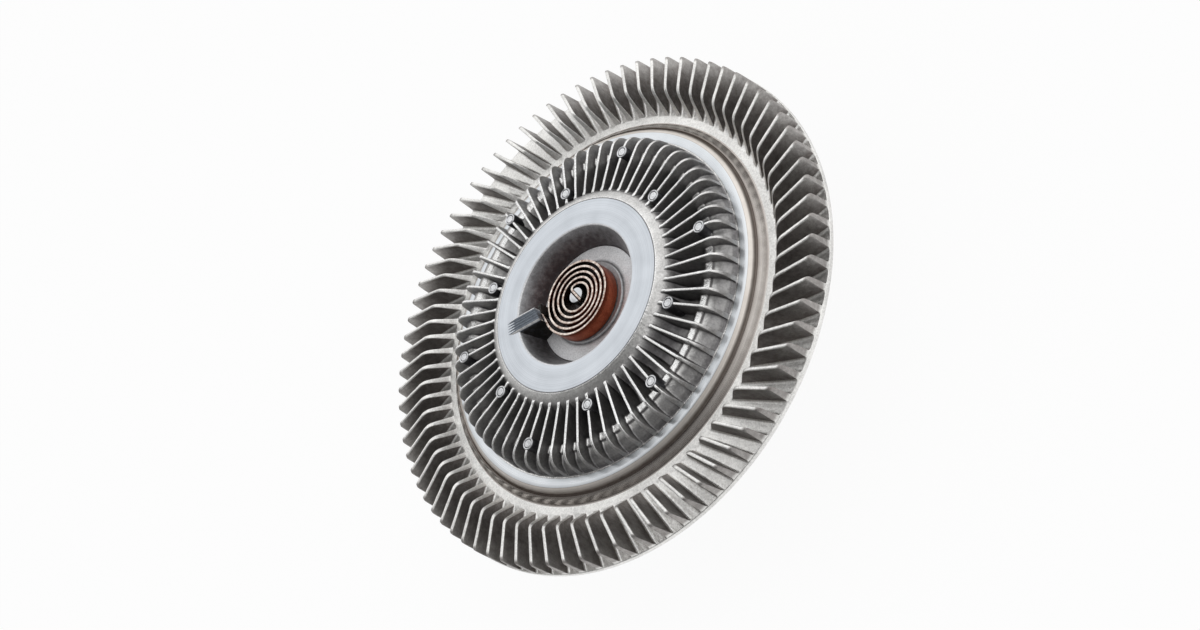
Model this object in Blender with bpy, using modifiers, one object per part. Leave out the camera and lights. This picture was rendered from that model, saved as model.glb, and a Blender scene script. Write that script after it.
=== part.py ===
"""Viscous fan clutch with a finned housing, a finned front cover and a bimetal valve coil.

The axis is +Z. The clutch stands on the flat end of its hex collar at z = 0, and the
coil in the front cover looks up. Every length is in metres.
"""
import math

import bmesh
import bpy
from mathutils import Matrix, Vector

MM = 0.001
FIT_GAP = 0.3 * MM          # between pieces that touch or are pressed together
OVERCUT = 1.0 * MM          # how far a cutter runs past the face that it opens
ROOTING = 1.5 * MM          # how deep a rib or boss is rooted in its casting

# Input shaft, from the collar end upwards
HEX_ACROSS_FLATS = 41.0 * MM
HEX_HEIGHT = 18.0 * MM
HEX_CHAMFER = 1.6 * MM
SOCKET_RADIUS = 13.9 * MM
SOCKET_DEPTH = 16.0 * MM
SOCKET_CHAMFER = 1.4 * MM
NECK_RADIUS = 16.0 * MM
NECK_LENGTH = 7.4 * MM
BEARING_SHOULDER_HEIGHT = 1.0 * MM
SHAFT_RADIUS = 10.0 * MM
SHAFT_NOSE_RADIUS = 9.0 * MM
SHAFT_NOSE_PROUD = 2.7 * MM
SHAFT_CHAMFER = 0.6 * MM
CIRCLIP_THICKNESS = 1.1 * MM
CIRCLIP_DEPTH = 0.9 * MM
CIRCLIP_WIDTH = 3.1 * MM
CIRCLIP_MOUTH = 4.0 * MM

# Ball bearing
BEARING_WIDTH = 14.0 * MM
BALL_COUNT = 8
BALL_RADIUS = 3.6 * MM
INNER_RING_WALL = 2.55 * MM     # under the ball race
OUTER_RING_WALL = 2.85 * MM     # outside the balls
RACE_SHOULDER = 0.75 * MM   # how far a ring's shoulder stands above the bottom of its race
SHIELD_THICKNESS = 0.6 * MM
SHIELD_INSET = 0.5 * MM
SHIELD_SEAT = 0.7 * MM
CAGE_THICKNESS = 2.1 * MM
CAGE_WEB = 1.2 * MM

# Rotor disc and its shear lands
ROTOR_HUB_RADIUS = 15.0 * MM
ROTOR_HUB_LENGTH = 9.0 * MM
ROTOR_DISC_THICKNESS = 4.5 * MM
ROTOR_RADIUS = 71.5 * MM
ROTOR_HOLE_COUNT = 4
ROTOR_HOLE_RADIUS = 4.0 * MM
ROTOR_HOLE_CIRCLE = 30.0 * MM
SHEAR_LAND_COUNT = 2
SHEAR_LAND_WIDTH = 3.0 * MM
SHEAR_LAND_HEIGHT = 3.0 * MM
SHEAR_LAND_PITCH = 8.0 * MM
SHEAR_LAND_INSET = 16.5 * MM    # from the rotor's edge to the inside of the inner land
WORKING_GAP = 1.0 * MM

# Rear housing: flange, lip that holds the cover, pot, fan seat and bearing boss
ROTOR_CLEARANCE = 2.5 * MM  # round the rotor, in the working cavity
SEAL_FROM_CAVITY = 2.8 * MM     # middle of the seal's groove
EDGE_FROM_SEAL = 2.7 * MM   # cover's edge beyond the seal
RIM_REACH = 30.5 * MM       # flange beyond the cover's edge
RIM_DROP = 0.9 * MM
RIM_THICKNESS = 3.0 * MM
CAVITY_DEPTH = 10.0 * MM
COVER_SEAT_DEPTH = 3.3 * MM
LIP_RISE = 0.5 * MM         # straight part of the lip's inner wall above the land
LIP_REACH = 1.2 * MM        # how far the rolled lip leans in over the cover
LIP_THICKNESS = 1.42 * MM
POT_BULGE = 4.5 * MM        # pot's wall beyond the cover's edge, under the flange
POT_TAPER = 3.5 * MM
POT_WALL = 4.0 * MM
FAN_SEAT_RADIUS = 56.0 * MM
FAN_SEAT_RISE = 6.0 * MM    # the seat stands behind the pot's rear wall by this
PILOT_RADIUS = 32.0 * MM
PILOT_CHAMFER = 1.0 * MM
BOSS_END_WALL = 1.9 * MM
HUB_CLEARANCE = 4.5 * MM
REAR_RIB_COUNT = 24
REAR_RIB_HEIGHT = 5.0 * MM
REAR_RIB_TOP = 1.8 * MM
REAR_RIB_FOOT = 2.8 * MM
REAR_RIB_INSET = 2.5 * MM

# Skewed cooling fins on the flange: each one lies along a tangent of a small circle
OUTER_FIN_COUNT = 80
FIN_TANGENT_RADIUS = 35.8 * MM
FIN_FIRST_ANGLE = math.radians(0.57)
LAND_WIDTH = 4.4 * MM       # plain land between the lip and the fins
FIN_NOSE_RUN = 6.6 * MM     # the inner end slopes up over this radius
FIN_TIP_INSET = 1.7 * MM
FIN_FOOT_INSET = 1.0 * MM
FIN_HEIGHT = 10.0 * MM
FIN_TOP_THICKNESS = 1.4 * MM
FIN_FOOT_THICKNESS = 3.3 * MM
FIN_CORNER_RADIUS = 3.0 * MM

# Fan studs
STUD_COUNT = 4
STUD_CIRCLE_RADIUS = 46.0 * MM
STUD_RADIUS = 4.0 * MM
STUD_LENGTH = 16.0 * MM
STUD_HOLD = 6.5 * MM
STUD_CHAMFER = 0.8 * MM
STUD_FIRST_ANGLE = math.radians(45)

# Front cover; heights are above the flange's land
BAND_HEIGHT = 4.8 * MM
EDGE_BEVEL = 2.6 * MM
COVER_EDGE_GAP = 0.42 * MM
FACE_HEIGHT = 17.6 * MM
FACE_RADIUS = 40.3 * MM
NECK_TOP_DROP = 1.2 * MM
COVER_NECK_RADIUS = 43.2 * MM
VALLEY_HEIGHT = 6.8 * MM
BAND_WIDTH = 8.1 * MM       # flat band and bevel, from the wall's foot to the cover's edge
SHOULDER_FALL_RUN = 3.2 * MM
SHOULDER_SLOPE = 3.5 * MM
SHOULDER_FLAT = 3.2 * MM
SHOULDER_RISE_RUN = 3.5 * MM
SHOULDER_HEIGHT = 11.2 * MM
SHOULDER_FALL = 1.8 * MM
COVER_FIN_COUNT = 60
COVER_FIN_HEIGHT = 16.0 * MM
COVER_FIN_TOE = 0.8 * MM    # fins' feet stand this far out on the band
COVER_FIN_ROUNDING = 6.2 * MM
COVER_FIN_TOP = 1.1 * MM
COVER_FIN_FOOT = 1.9 * MM
PAD_RADIUS = 2.5 * MM
PAD_PROUD = 0.2 * MM
INNER_PAD_CIRCLE = 50.4 * MM
OUTER_PAD_INSET = 2.1 * MM  # inside the shoulder's slope
PADS_PER_CIRCLE = 6
RECESS_MOUTH_RADIUS = 31.0 * MM
RECESS_EDGE = 0.5 * MM
RECESS_FLOOR_RADIUS = 24.8 * MM
RECESS_FILLET_RADIUS = 27.6 * MM
RECESS_FILLET_RISE = 2.2 * MM
RECESS_DEPTH = 10.2 * MM
FLOOR_THICKNESS = 3.0 * MM
COIL_BOSS_RADIUS = 18.0 * MM
COIL_BOSS_HEIGHT = 0.8 * MM

# Pump plate with its screws
PLATE_MARGIN = 5.0 * MM     # inside the inner shear land
PLATE_SEAT_WIDTH = 7.0 * MM
PLATE_THICKNESS = 1.2 * MM
PLATE_SEAT_RISE = 1.0 * MM  # the seat lies this far above the cover's working face
PLATE_SCREW_COUNT = 4
PLATE_SCREW_INSET = 3.5 * MM
PLATE_SCREW_RADIUS = 1.5 * MM
PLATE_SCREW_HEAD_RADIUS = 2.6 * MM
PLATE_SCREW_HEAD_HEIGHT = 1.2 * MM
PLATE_SCREW_LENGTH = 4.5 * MM
PORT_INSET = 9.0 * MM       # inside the reservoir's wall
PORT_LENGTH = 8.0 * MM
PORT_WIDTH = 5.0 * MM
PORT_ANGLE = math.radians(-30)

# Cover seal
SEAL_HEIGHT = 1.4 * MM
SEAL_WIDTH = 1.8 * MM

# Valve: shaft, arm, clip and seal
VALVE_RADIUS = 3.3 * MM
VALVE_TOP_PROUD = 0.6 * MM  # above the coil
VALVE_SPIGOT_RADIUS = 2.4 * MM
VALVE_COLLAR = 1.2 * MM
VALVE_GROOVE_RADIUS = 2.5 * MM
VALVE_CLIP_THICKNESS = 0.6 * MM
VALVE_CLIP_RADIUS = 5.2 * MM
VALVE_CLIP_MOUTH = 3.4 * MM
ARM_THICKNESS = 1.2 * MM
ARM_LIFT = 0.4 * MM         # running gap between the arm and the pump plate
ARM_HUB_RADIUS = 6.0 * MM
ARM_WIDTH = 7.0 * MM
ARM_PAD_RADIUS = 6.0 * MM
GLAND_RADIUS = 5.3 * MM
GLAND_DEPTH = 2.2 * MM
VALVE_SEAL_RADIUS = 0.7 * MM

# Bimetal coil and the post that anchors its outer end
COIL_RADIUS = 16.0 * MM
COIL_WIDTH = 7.1 * MM
COIL_INNER_RADIUS = 5.2 * MM
COIL_THICKNESS = 1.0 * MM
COIL_TURNS = 4.71
COIL_LEAVE_ANGLE = math.radians(240)
COIL_BEND_RADIUS = 1.3 * MM
COIL_SLOT_CLEARANCE = 0.3 * MM
COIL_STEP = math.radians(24)
POST_ANGLE = math.radians(207)
POST_INNER_RADIUS = 17.2 * MM
POST_OUTER_RADIUS = 36.0 * MM
POST_WIDTH = 5.6 * MM
POST_PROUD = 0.6 * MM       # above the cover's machined face
TAIL_PAST_POST = 2.0 * MM

# Facets round each kind of turned piece
CASTING_STEPS = 60          # as many as the cover has fins, so each stands on a facet edge
RECESS_STEPS = 36
INNER_STEPS = 20
INNER_TURN = math.radians(3)    # keeps the inner corners off the castings' facet edges
RECESS_TURN = math.radians(1)
SMALL_STEPS = 16
ROD_STEPS = 10

# Radii of the bearing, worked out from the shaft
BALL_PITCH_RADIUS = SHAFT_RADIUS + FIT_GAP + INNER_RING_WALL + FIT_GAP + BALL_RADIUS
BEARING_RADIUS = BALL_PITCH_RADIUS + BALL_RADIUS + OUTER_RING_WALL

# Radii of the castings, worked out from the rotor
CAVITY_RADIUS = ROTOR_RADIUS + ROTOR_CLEARANCE
SEAL_RADIUS = CAVITY_RADIUS + SEAL_FROM_CAVITY
COVER_RADIUS = SEAL_RADIUS + EDGE_FROM_SEAL
RIM_RADIUS = COVER_RADIUS + RIM_REACH
POT_TOP_RADIUS = COVER_RADIUS + POT_BULGE
POT_RADIUS = POT_TOP_RADIUS - POT_TAPER
BAND_OUTER_RADIUS = COVER_RADIUS - EDGE_BEVEL
WALL_FOOT_RADIUS = COVER_RADIUS - BAND_WIDTH
COVER_FIN_FOOT_RADIUS = WALL_FOOT_RADIUS + COVER_FIN_TOE
SHOULDER_OUTER_RADIUS = WALL_FOOT_RADIUS - SHOULDER_FALL_RUN
SHOULDER_FLAT_RADIUS = SHOULDER_OUTER_RADIUS - SHOULDER_SLOPE
SHOULDER_RADIUS = SHOULDER_FLAT_RADIUS - SHOULDER_FLAT
VALLEY_OUTER_RADIUS = SHOULDER_RADIUS - SHOULDER_RISE_RUN
OUTER_PAD_CIRCLE = SHOULDER_FLAT_RADIUS - OUTER_PAD_INSET
SHEAR_LAND_INNER = ROTOR_RADIUS - SHEAR_LAND_INSET
PLATE_RADIUS = SHEAR_LAND_INNER - PLATE_MARGIN
RESERVOIR_RADIUS = PLATE_RADIUS - PLATE_SEAT_WIDTH
PLATE_SCREW_CIRCLE = PLATE_RADIUS - PLATE_SCREW_INSET
PORT_RADIUS = RESERVOIR_RADIUS - PORT_INSET

# Heights above the collar end, worked out along the stack
BEARING_BOTTOM = HEX_HEIGHT + NECK_LENGTH + FIT_GAP
BEARING_MIDDLE = BEARING_BOTTOM + BEARING_WIDTH / 2
BEARING_TOP = BEARING_BOTTOM + BEARING_WIDTH
ROTOR_BOTTOM = BEARING_TOP + FIT_GAP
DISC_BOTTOM = ROTOR_BOTTOM + ROTOR_HUB_LENGTH
DISC_TOP = DISC_BOTTOM + ROTOR_DISC_THICKNESS
CAVITY_FLOOR = DISC_BOTTOM - WORKING_GAP
LAND = CAVITY_FLOOR + CAVITY_DEPTH
POT_REAR = CAVITY_FLOOR - POT_WALL
FAN_SEAT = POT_REAR - FAN_SEAT_RISE
COVER_BOTTOM = LAND - COVER_SEAT_DEPTH + FIT_GAP
WORKING_FACE = DISC_TOP + SHEAR_LAND_HEIGHT + WORKING_GAP
PLATE_TOP = WORKING_FACE + PLATE_SEAT_RISE - FIT_GAP
PLATE_BOTTOM = PLATE_TOP - PLATE_THICKNESS
FACE = LAND + FACE_HEIGHT
RECESS_FLOOR = FACE - RECESS_DEPTH
RESERVOIR_TOP = RECESS_FLOOR - FLOOR_THICKNESS
BOSS_TOP = RECESS_FLOOR + COIL_BOSS_HEIGHT
COIL_BOTTOM = BOSS_TOP + FIT_GAP
COIL_TOP = COIL_BOTTOM + COIL_WIDTH
ARM_BOTTOM = PLATE_TOP + ARM_LIFT
ARM_TOP = ARM_BOTTOM + ARM_THICKNESS
SEAT_BORE = COVER_RADIUS + FIT_GAP
LIP_SUM = SEAT_BORE + LIP_RISE                       # radius + height on the lip's inner slope
LIP_END = LIP_SUM - 2 * (LIP_RISE + LIP_REACH)       # radius - height at the lip's end
LIP_FOOT_RADIUS = LIP_SUM + LIP_THICKNESS * math.sqrt(2)
RACE_RADIUS = BALL_RADIUS + FIT_GAP
FACET_ALLOWANCE = 1 / math.cos(math.pi / SMALL_STEPS)   # keeps a facet's middle at the true radius
INNER_RACE_SHOULDER = BALL_PITCH_RADIUS - RACE_RADIUS + RACE_SHOULDER
OUTER_RACE_SHOULDER = (BALL_PITCH_RADIUS + RACE_RADIUS - RACE_SHOULDER) * FACET_ALLOWANCE
BEARING_BORE_RADIUS = BEARING_RADIUS + FIT_GAP
CLIP_BOTTOM = BEARING_BOTTOM - FIT_GAP - CIRCLIP_THICKNESS
BOSS_END = CLIP_BOTTOM - FIT_GAP - BOSS_END_WALL
COIL_SLOT = COIL_THICKNESS + 2 * COIL_SLOT_CLEARANCE
POST_TOP = FACE + POST_PROUD


def clear_scene():
    for old in list(bpy.data.objects):
        bpy.data.objects.remove(old, do_unlink=True)


def new_collection(name):
    collection = bpy.data.collections.new(name)
    bpy.context.scene.collection.children.link(collection)
    return collection


def new_material(name, colour, roughness, metallic):
    material = bpy.data.materials.new(name)
    material.use_nodes = True
    shader = material.node_tree.nodes["Principled BSDF"]
    shader.inputs["Base Color"].default_value = (*colour, 1.0)
    shader.inputs["Roughness"].default_value = roughness
    shader.inputs["Metallic"].default_value = metallic
    return material


def new_object(name, mesh, material=None):
    """Puts a mesh in the scene: a part when it has a material, and otherwise a cutter."""
    thing = bpy.data.objects.new(name, mesh)
    if material is None:
        tools.objects.link(thing)
        thing.hide_render = True
        thing.display_type = "WIRE"
    else:
        parts.objects.link(thing)
        mesh.materials.append(material)
    return thing


def turned(name, outlines, steps, material=None, turn=0.0):
    """Turns outlines of (radius, height) about Z. A closed outline repeats its first point."""
    mesh = bpy.data.meshes.new(name)
    form = bmesh.new()
    for outline in outlines:
        closed = outline[0] == outline[-1]
        corners = [form.verts.new((r, 0, z)) for r, z in (outline[:-1] if closed else outline)]
        for first, second in zip(corners, corners[1:]):
            form.edges.new((first, second))
        if closed:
            form.edges.new((corners[-1], corners[0]))
    form.to_mesh(mesh)
    form.free()
    thing = new_object(name, mesh, material)
    thing.rotation_euler.z = turn
    screw = thing.modifiers.new("Turn", "SCREW")
    screw.steps = screw.render_steps = steps
    screw.use_merge_vertices = True
    screw.merge_threshold = 0.00001
    screw.use_smooth_shade = False
    return thing


def solid(name, form, material=None):
    """Makes an object of a finished bmesh."""
    bmesh.ops.recalc_face_normals(form, faces=form.faces)
    mesh = bpy.data.meshes.new(name)
    form.to_mesh(mesh)
    form.free()
    return new_object(name, mesh, material)


def combine(thing, tool, operation):
    step = thing.modifiers.new(operation.title(), "BOOLEAN")
    step.operation = operation
    step.object = tool
    step.solver = "EXACT"


def add_rod(form, radius, bottom, top, centre=(0, 0), steps=ROD_STEPS):
    height = top - bottom
    place = Matrix.Translation((centre[0], centre[1], bottom + height / 2))
    bmesh.ops.create_cone(form, cap_ends=True, segments=steps, radius1=radius,
                          radius2=radius, depth=height, matrix=place)


def add_box(form, low, high, spin=0.0):
    """A box from its low and high corners, then turned about Z."""
    low, high = Vector(low), Vector(high)
    place = Matrix.Rotation(spin, 4, "Z") @ Matrix.Translation((low + high) / 2)
    place = place @ Matrix.Diagonal((*(high - low), 1.0))
    bmesh.ops.create_cube(form, size=1.0, matrix=place)


def add_blade(form, outline, top_height, top_half, foot_height, foot_half, offset, angle):
    """One cast fin: an outline of (run, height) in its own plane, which stands `offset` off
    the axis. Draft makes it thicker towards the foot."""
    spin = Matrix.Rotation(angle, 4, "Z")
    sides = []
    for side in (-1, 1):
        corners = []
        for run, height in outline:
            share = (top_height - height) / (top_height - foot_height)
            half = top_half + (foot_half - top_half) * share
            corners.append(form.verts.new(spin @ Vector((run, offset + side * half, height))))
        sides.append(corners)
    near, far = sides
    form.faces.new(near)
    form.faces.new(far[::-1])
    for i in range(len(outline)):
        j = (i + 1) % len(outline)
        form.faces.new((near[i], far[i], far[j], near[j]))


def polar(radius, angle):
    return radius * math.cos(angle), radius * math.sin(angle)


def round_corner(before, corner, after, radius, pieces):
    """The points of an arc that rounds one corner of an outline."""
    a, b, c = Vector(before), Vector(corner), Vector(after)
    to_a, to_c = (a - b).normalized(), (c - b).normalized()
    half = to_a.angle(to_c) / 2
    reach = min(radius / math.tan(half), (a - b).length * 0.9, (c - b).length * 0.9)
    radius = reach * math.tan(half)
    centre = b + (to_a + to_c).normalized() * (radius / math.sin(half))
    start, end = b + to_a * reach - centre, b + to_c * reach - centre
    points = []
    for i in range(pieces + 1):
        spoke = start.lerp(end, i / pieces).normalized() * radius
        points.append(tuple(centre + spoke))
    return points


def slope_point(total, difference):
    """The point whose radius + height is total and whose radius - height is difference."""
    return (total + difference) / 2, LAND + (total - difference) / 2


def build_housing(material):
    """The rear casting: finned flange, rolled lip, pot, fan seat and bearing boss."""
    lip_crest = slope_point(LIP_FOOT_RADIUS, LIP_END - 2 * OVERCUT)
    rim_front = LAND - RIM_DROP
    housing = turned("housing", [[
        (0, lip_crest[1]),
        lip_crest,
        (LIP_FOOT_RADIUS, LAND),
        (RIM_RADIUS, rim_front),
        (RIM_RADIUS, rim_front - RIM_THICKNESS),
        (POT_TOP_RADIUS, rim_front - RIM_THICKNESS),
        (POT_RADIUS, POT_REAR),
        (0, POT_REAR),
    ]], CASTING_STEPS, material)
    combine(housing, outer_fins(rim_front), "UNION")
    boss = turned("fan_seat_and_boss", [[
        (0, POT_REAR + ROOTING),
        (FAN_SEAT_RADIUS + PILOT_CHAMFER, POT_REAR + ROOTING),
        (FAN_SEAT_RADIUS, FAN_SEAT),
        (PILOT_RADIUS, FAN_SEAT),
        (PILOT_RADIUS, BOSS_END + PILOT_CHAMFER),
        (PILOT_RADIUS - PILOT_CHAMFER, BOSS_END),
        (0, BOSS_END),
    ]], INNER_STEPS, turn=INNER_TURN)
    combine(housing, boss, "UNION")
    combine(housing, rear_ribs(), "UNION")
    seat_mouth = slope_point(LIP_FOOT_RADIUS + 4 * OVERCUT, LIP_END)
    seat = turned("cover_seat", [[
        (0, seat_mouth[1]),
        seat_mouth,
        slope_point(LIP_SUM, LIP_END),
        (SEAT_BORE, LAND + LIP_RISE),
        (SEAT_BORE, LAND - COVER_SEAT_DEPTH),
        (0, LAND - COVER_SEAT_DEPTH),
    ]], CASTING_STEPS)
    combine(housing, seat, "DIFFERENCE")
    combine(housing, seal_groove(), "DIFFERENCE")
    clip_groove = BEARING_BORE_RADIUS + CIRCLIP_DEPTH + FIT_GAP
    cavity = turned("working_cavity", [[
        (0, LAND),
        (CAVITY_RADIUS, LAND),
        (CAVITY_RADIUS, CAVITY_FLOOR),
        (0, CAVITY_FLOOR),
    ]], INNER_STEPS, turn=INNER_TURN)
    combine(housing, cavity, "DIFFERENCE")
    bore = turned("bearing_bore", [[
        (0, CAVITY_FLOOR + OVERCUT),
        (ROTOR_HUB_RADIUS + HUB_CLEARANCE, CAVITY_FLOOR + OVERCUT),
        (ROTOR_HUB_RADIUS + HUB_CLEARANCE, BEARING_TOP + FIT_GAP),
        (BEARING_BORE_RADIUS, BEARING_TOP + FIT_GAP),
        (BEARING_BORE_RADIUS, BEARING_BOTTOM),
        (clip_groove, BEARING_BOTTOM),
        (clip_groove, CLIP_BOTTOM - FIT_GAP),
        (BEARING_BORE_RADIUS, CLIP_BOTTOM - FIT_GAP),
        (BEARING_BORE_RADIUS, BOSS_END - OVERCUT),
        (0, BOSS_END - OVERCUT),
    ]], SMALL_STEPS)
    combine(housing, bore, "DIFFERENCE")
    holes = bmesh.new()
    for i in range(STUD_COUNT):
        add_rod(holes, STUD_RADIUS + FIT_GAP, FAN_SEAT - OVERCUT, FAN_SEAT + STUD_HOLD + FIT_GAP,
                polar(STUD_CIRCLE_RADIUS, stud_angle(i)))
    combine(housing, solid("stud_holes", holes), "DIFFERENCE")
    return housing


def outer_fins(rim_front):
    """The ring of skewed blades on the front of the flange."""
    root_radius = LIP_FOOT_RADIUS + LAND_WIDTH
    fin_top = LAND + FIN_HEIGHT

    def run(radius):
        return math.sqrt(radius ** 2 - FIN_TANGENT_RADIUS ** 2)

    root = (run(root_radius), rim_front)
    nose = (run(root_radius + FIN_NOSE_RUN), fin_top)
    tip = (run(RIM_RADIUS - FIN_TIP_INSET), fin_top)
    foot = (run(RIM_RADIUS - FIN_FOOT_INSET), rim_front)
    outline = [root]
    outline += round_corner(root, nose, tip, FIN_CORNER_RADIUS, 1)
    outline += [tip, foot]
    outline += [(foot[0], rim_front - ROOTING), (root[0], rim_front - ROOTING)]
    fins = bmesh.new()
    for i in range(OUTER_FIN_COUNT):
        add_blade(fins, outline, fin_top, FIN_TOP_THICKNESS / 2, LAND, FIN_FOOT_THICKNESS / 2,
                  -FIN_TANGENT_RADIUS, FIN_FIRST_ANGLE + i * math.tau / OUTER_FIN_COUNT)
    return solid("outer_fins", fins)


def rear_ribs():
    """Short radial ribs that cool the rear wall of the pot."""
    tip = POT_REAR - REAR_RIB_HEIGHT
    inner = FAN_SEAT_RADIUS - ROOTING
    outer = POT_RADIUS - REAR_RIB_INSET
    outline = [(inner, POT_REAR + ROOTING), (outer, POT_REAR + ROOTING), (outer, POT_REAR),
               (outer - REAR_RIB_HEIGHT / 2, tip), (inner, tip)]
    ribs = bmesh.new()
    for i in range(REAR_RIB_COUNT):
        add_blade(ribs, outline, tip, REAR_RIB_TOP / 2, POT_REAR, REAR_RIB_FOOT / 2,
                  0.0, (i + 0.5) * math.tau / REAR_RIB_COUNT)
    return solid("rear_ribs", ribs)


def seal_groove():
    top = LAND - COVER_SEAT_DEPTH
    half = SEAL_WIDTH / 2 + FIT_GAP
    return turned("seal_groove", [[
        (SEAL_RADIUS - half, top + FIT_GAP),
        (SEAL_RADIUS + half, top + FIT_GAP),
        (SEAL_RADIUS + half, top - SEAL_HEIGHT),
        (SEAL_RADIUS - half, top - SEAL_HEIGHT),
        (SEAL_RADIUS - half, top + FIT_GAP),
    ]], INNER_STEPS, turn=INNER_TURN)


def build_cover_seal(material):
    bottom = LAND - COVER_SEAT_DEPTH - SEAL_HEIGHT + FIT_GAP
    half = SEAL_WIDTH / 2
    return turned("cover_seal", [[
        (SEAL_RADIUS - half, bottom + SEAL_HEIGHT),
        (SEAL_RADIUS + half, bottom + SEAL_HEIGHT),
        (SEAL_RADIUS + half, bottom),
        (SEAL_RADIUS - half, bottom),
        (SEAL_RADIUS - half, bottom + SEAL_HEIGHT),
    ]], INNER_STEPS, material, INNER_TURN)


def build_cover(material):
    """The front casting: machined ring round a recess, radial fins and a flat outer band."""
    edge_sum = BAND_OUTER_RADIUS + BAND_HEIGHT
    edge_difference = LIP_END - COVER_EDGE_GAP * math.sqrt(2)
    under_sum = LIP_SUM - FIT_GAP * math.sqrt(2)
    cover = turned("cover", [[
        (0, FACE),
        (FACE_RADIUS, FACE),
        (COVER_NECK_RADIUS, FACE - NECK_TOP_DROP),
        (COVER_NECK_RADIUS, LAND + VALLEY_HEIGHT),
        (VALLEY_OUTER_RADIUS, LAND + VALLEY_HEIGHT),
        (SHOULDER_RADIUS, LAND + SHOULDER_HEIGHT),
        (SHOULDER_FLAT_RADIUS, LAND + SHOULDER_HEIGHT),
        (SHOULDER_OUTER_RADIUS, LAND + SHOULDER_HEIGHT - SHOULDER_FALL),
        (WALL_FOOT_RADIUS, LAND + BAND_HEIGHT),
        (BAND_OUTER_RADIUS, LAND + BAND_HEIGHT),
        slope_point(edge_sum, edge_difference),
        slope_point(under_sum, edge_difference),
        (COVER_RADIUS, LAND + under_sum - COVER_RADIUS),
        (COVER_RADIUS, COVER_BOTTOM),
        (0, COVER_BOTTOM),
    ]], CASTING_STEPS, material)
    recess = turned("recess", [[
        (0, FACE + RECESS_EDGE),
        (RECESS_MOUTH_RADIUS + RECESS_EDGE, FACE + RECESS_EDGE),
        (RECESS_MOUTH_RADIUS - RECESS_EDGE, FACE - RECESS_EDGE),
        (RECESS_FILLET_RADIUS, RECESS_FLOOR + RECESS_FILLET_RISE),
        (RECESS_FLOOR_RADIUS, RECESS_FLOOR),
        (COIL_BOSS_RADIUS, RECESS_FLOOR),
        (COIL_BOSS_RADIUS - COIL_BOSS_HEIGHT, BOSS_TOP),
        (0, BOSS_TOP),
    ]], RECESS_STEPS, turn=RECESS_TURN)
    combine(cover, recess, "DIFFERENCE")
    combine(cover, cover_fins(), "UNION")
    combine(cover, cover_pads(), "UNION")
    post = bmesh.new()
    add_box(post, (POST_INNER_RADIUS, -POST_WIDTH / 2, RECESS_FLOOR - ROOTING),
            (POST_OUTER_RADIUS, POST_WIDTH / 2, POST_TOP), POST_ANGLE)
    combine(cover, solid("anchor_post", post), "UNION")
    combine(cover, cover_inside(), "DIFFERENCE")
    combine(cover, post_slot(), "DIFFERENCE")
    return cover


def cover_fins():
    """Radial fins: flat on top, rounded down to the band at their outer ends."""
    top = LAND + COVER_FIN_HEIGHT
    inner = COVER_NECK_RADIUS - ROOTING / 2
    buried = LAND + BAND_HEIGHT - ROOTING / 2
    foot = (COVER_FIN_FOOT_RADIUS, LAND + BAND_HEIGHT)
    fall = (COVER_FIN_FOOT_RADIUS, top)
    outline = [(inner, top)]
    outline += round_corner((inner, top), fall, foot, COVER_FIN_ROUNDING, 2)
    outline += [(COVER_FIN_FOOT_RADIUS, buried), (inner, buried)]
    fins = bmesh.new()
    for i in range(COVER_FIN_COUNT):
        add_blade(fins, outline, top, COVER_FIN_TOP / 2, LAND + VALLEY_HEIGHT, COVER_FIN_FOOT / 2,
                  0.0, i * math.tau / COVER_FIN_COUNT)
    return solid("cover_fins", fins)


def cover_pads():
    """Round ejector pads, cast on the fins in two circles."""
    pads = bmesh.new()
    for circle, first in ((INNER_PAD_CIRCLE, 0.0), (OUTER_PAD_CIRCLE, 0.5)):
        for i in range(PADS_PER_CIRCLE):
            angle = (i + first) * math.tau / PADS_PER_CIRCLE
            add_rod(pads, PAD_RADIUS, LAND + VALLEY_HEIGHT - ROOTING,
                    LAND + COVER_FIN_HEIGHT + PAD_PROUD, polar(circle, angle), 8)
    return solid("cover_pads", pads)


def cover_inside():
    """What is cut out of the cover: seal gland, shaft bore, reservoir, plate seat, grooves."""
    bore = VALVE_RADIUS + FIT_GAP
    outlines = [[
        (0, BOSS_TOP + OVERCUT),
        (GLAND_RADIUS, BOSS_TOP + OVERCUT),
        (GLAND_RADIUS, BOSS_TOP - GLAND_DEPTH),
        (bore, BOSS_TOP - GLAND_DEPTH),
        (bore, RESERVOIR_TOP),
        (RESERVOIR_RADIUS, RESERVOIR_TOP),
        (RESERVOIR_RADIUS, PLATE_TOP + FIT_GAP),
        (PLATE_RADIUS + FIT_GAP, PLATE_TOP + FIT_GAP),
        (PLATE_RADIUS + FIT_GAP, COVER_BOTTOM - OVERCUT),
        (0, COVER_BOTTOM - OVERCUT),
    ]]
    for i in range(SHEAR_LAND_COUNT):
        inner = SHEAR_LAND_INNER + i * SHEAR_LAND_PITCH - WORKING_GAP
        outer = inner + SHEAR_LAND_WIDTH + 2 * WORKING_GAP
        outlines.append([
            (inner, WORKING_FACE),
            (outer, WORKING_FACE),
            (outer, COVER_BOTTOM - OVERCUT),
            (inner, COVER_BOTTOM - OVERCUT),
            (inner, WORKING_FACE),
        ])
    inside = turned("cover_inside", outlines, INNER_STEPS, turn=INNER_TURN)
    holes = bmesh.new()
    for i in range(PLATE_SCREW_COUNT):
        add_rod(holes, PLATE_SCREW_RADIUS + FIT_GAP, PLATE_TOP,
                PLATE_BOTTOM + PLATE_SCREW_LENGTH + FIT_GAP,
                polar(PLATE_SCREW_CIRCLE, plate_screw_angle(i)), 8)
    combine(inside, solid("plate_screw_holes", holes), "UNION")
    return inside


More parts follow.
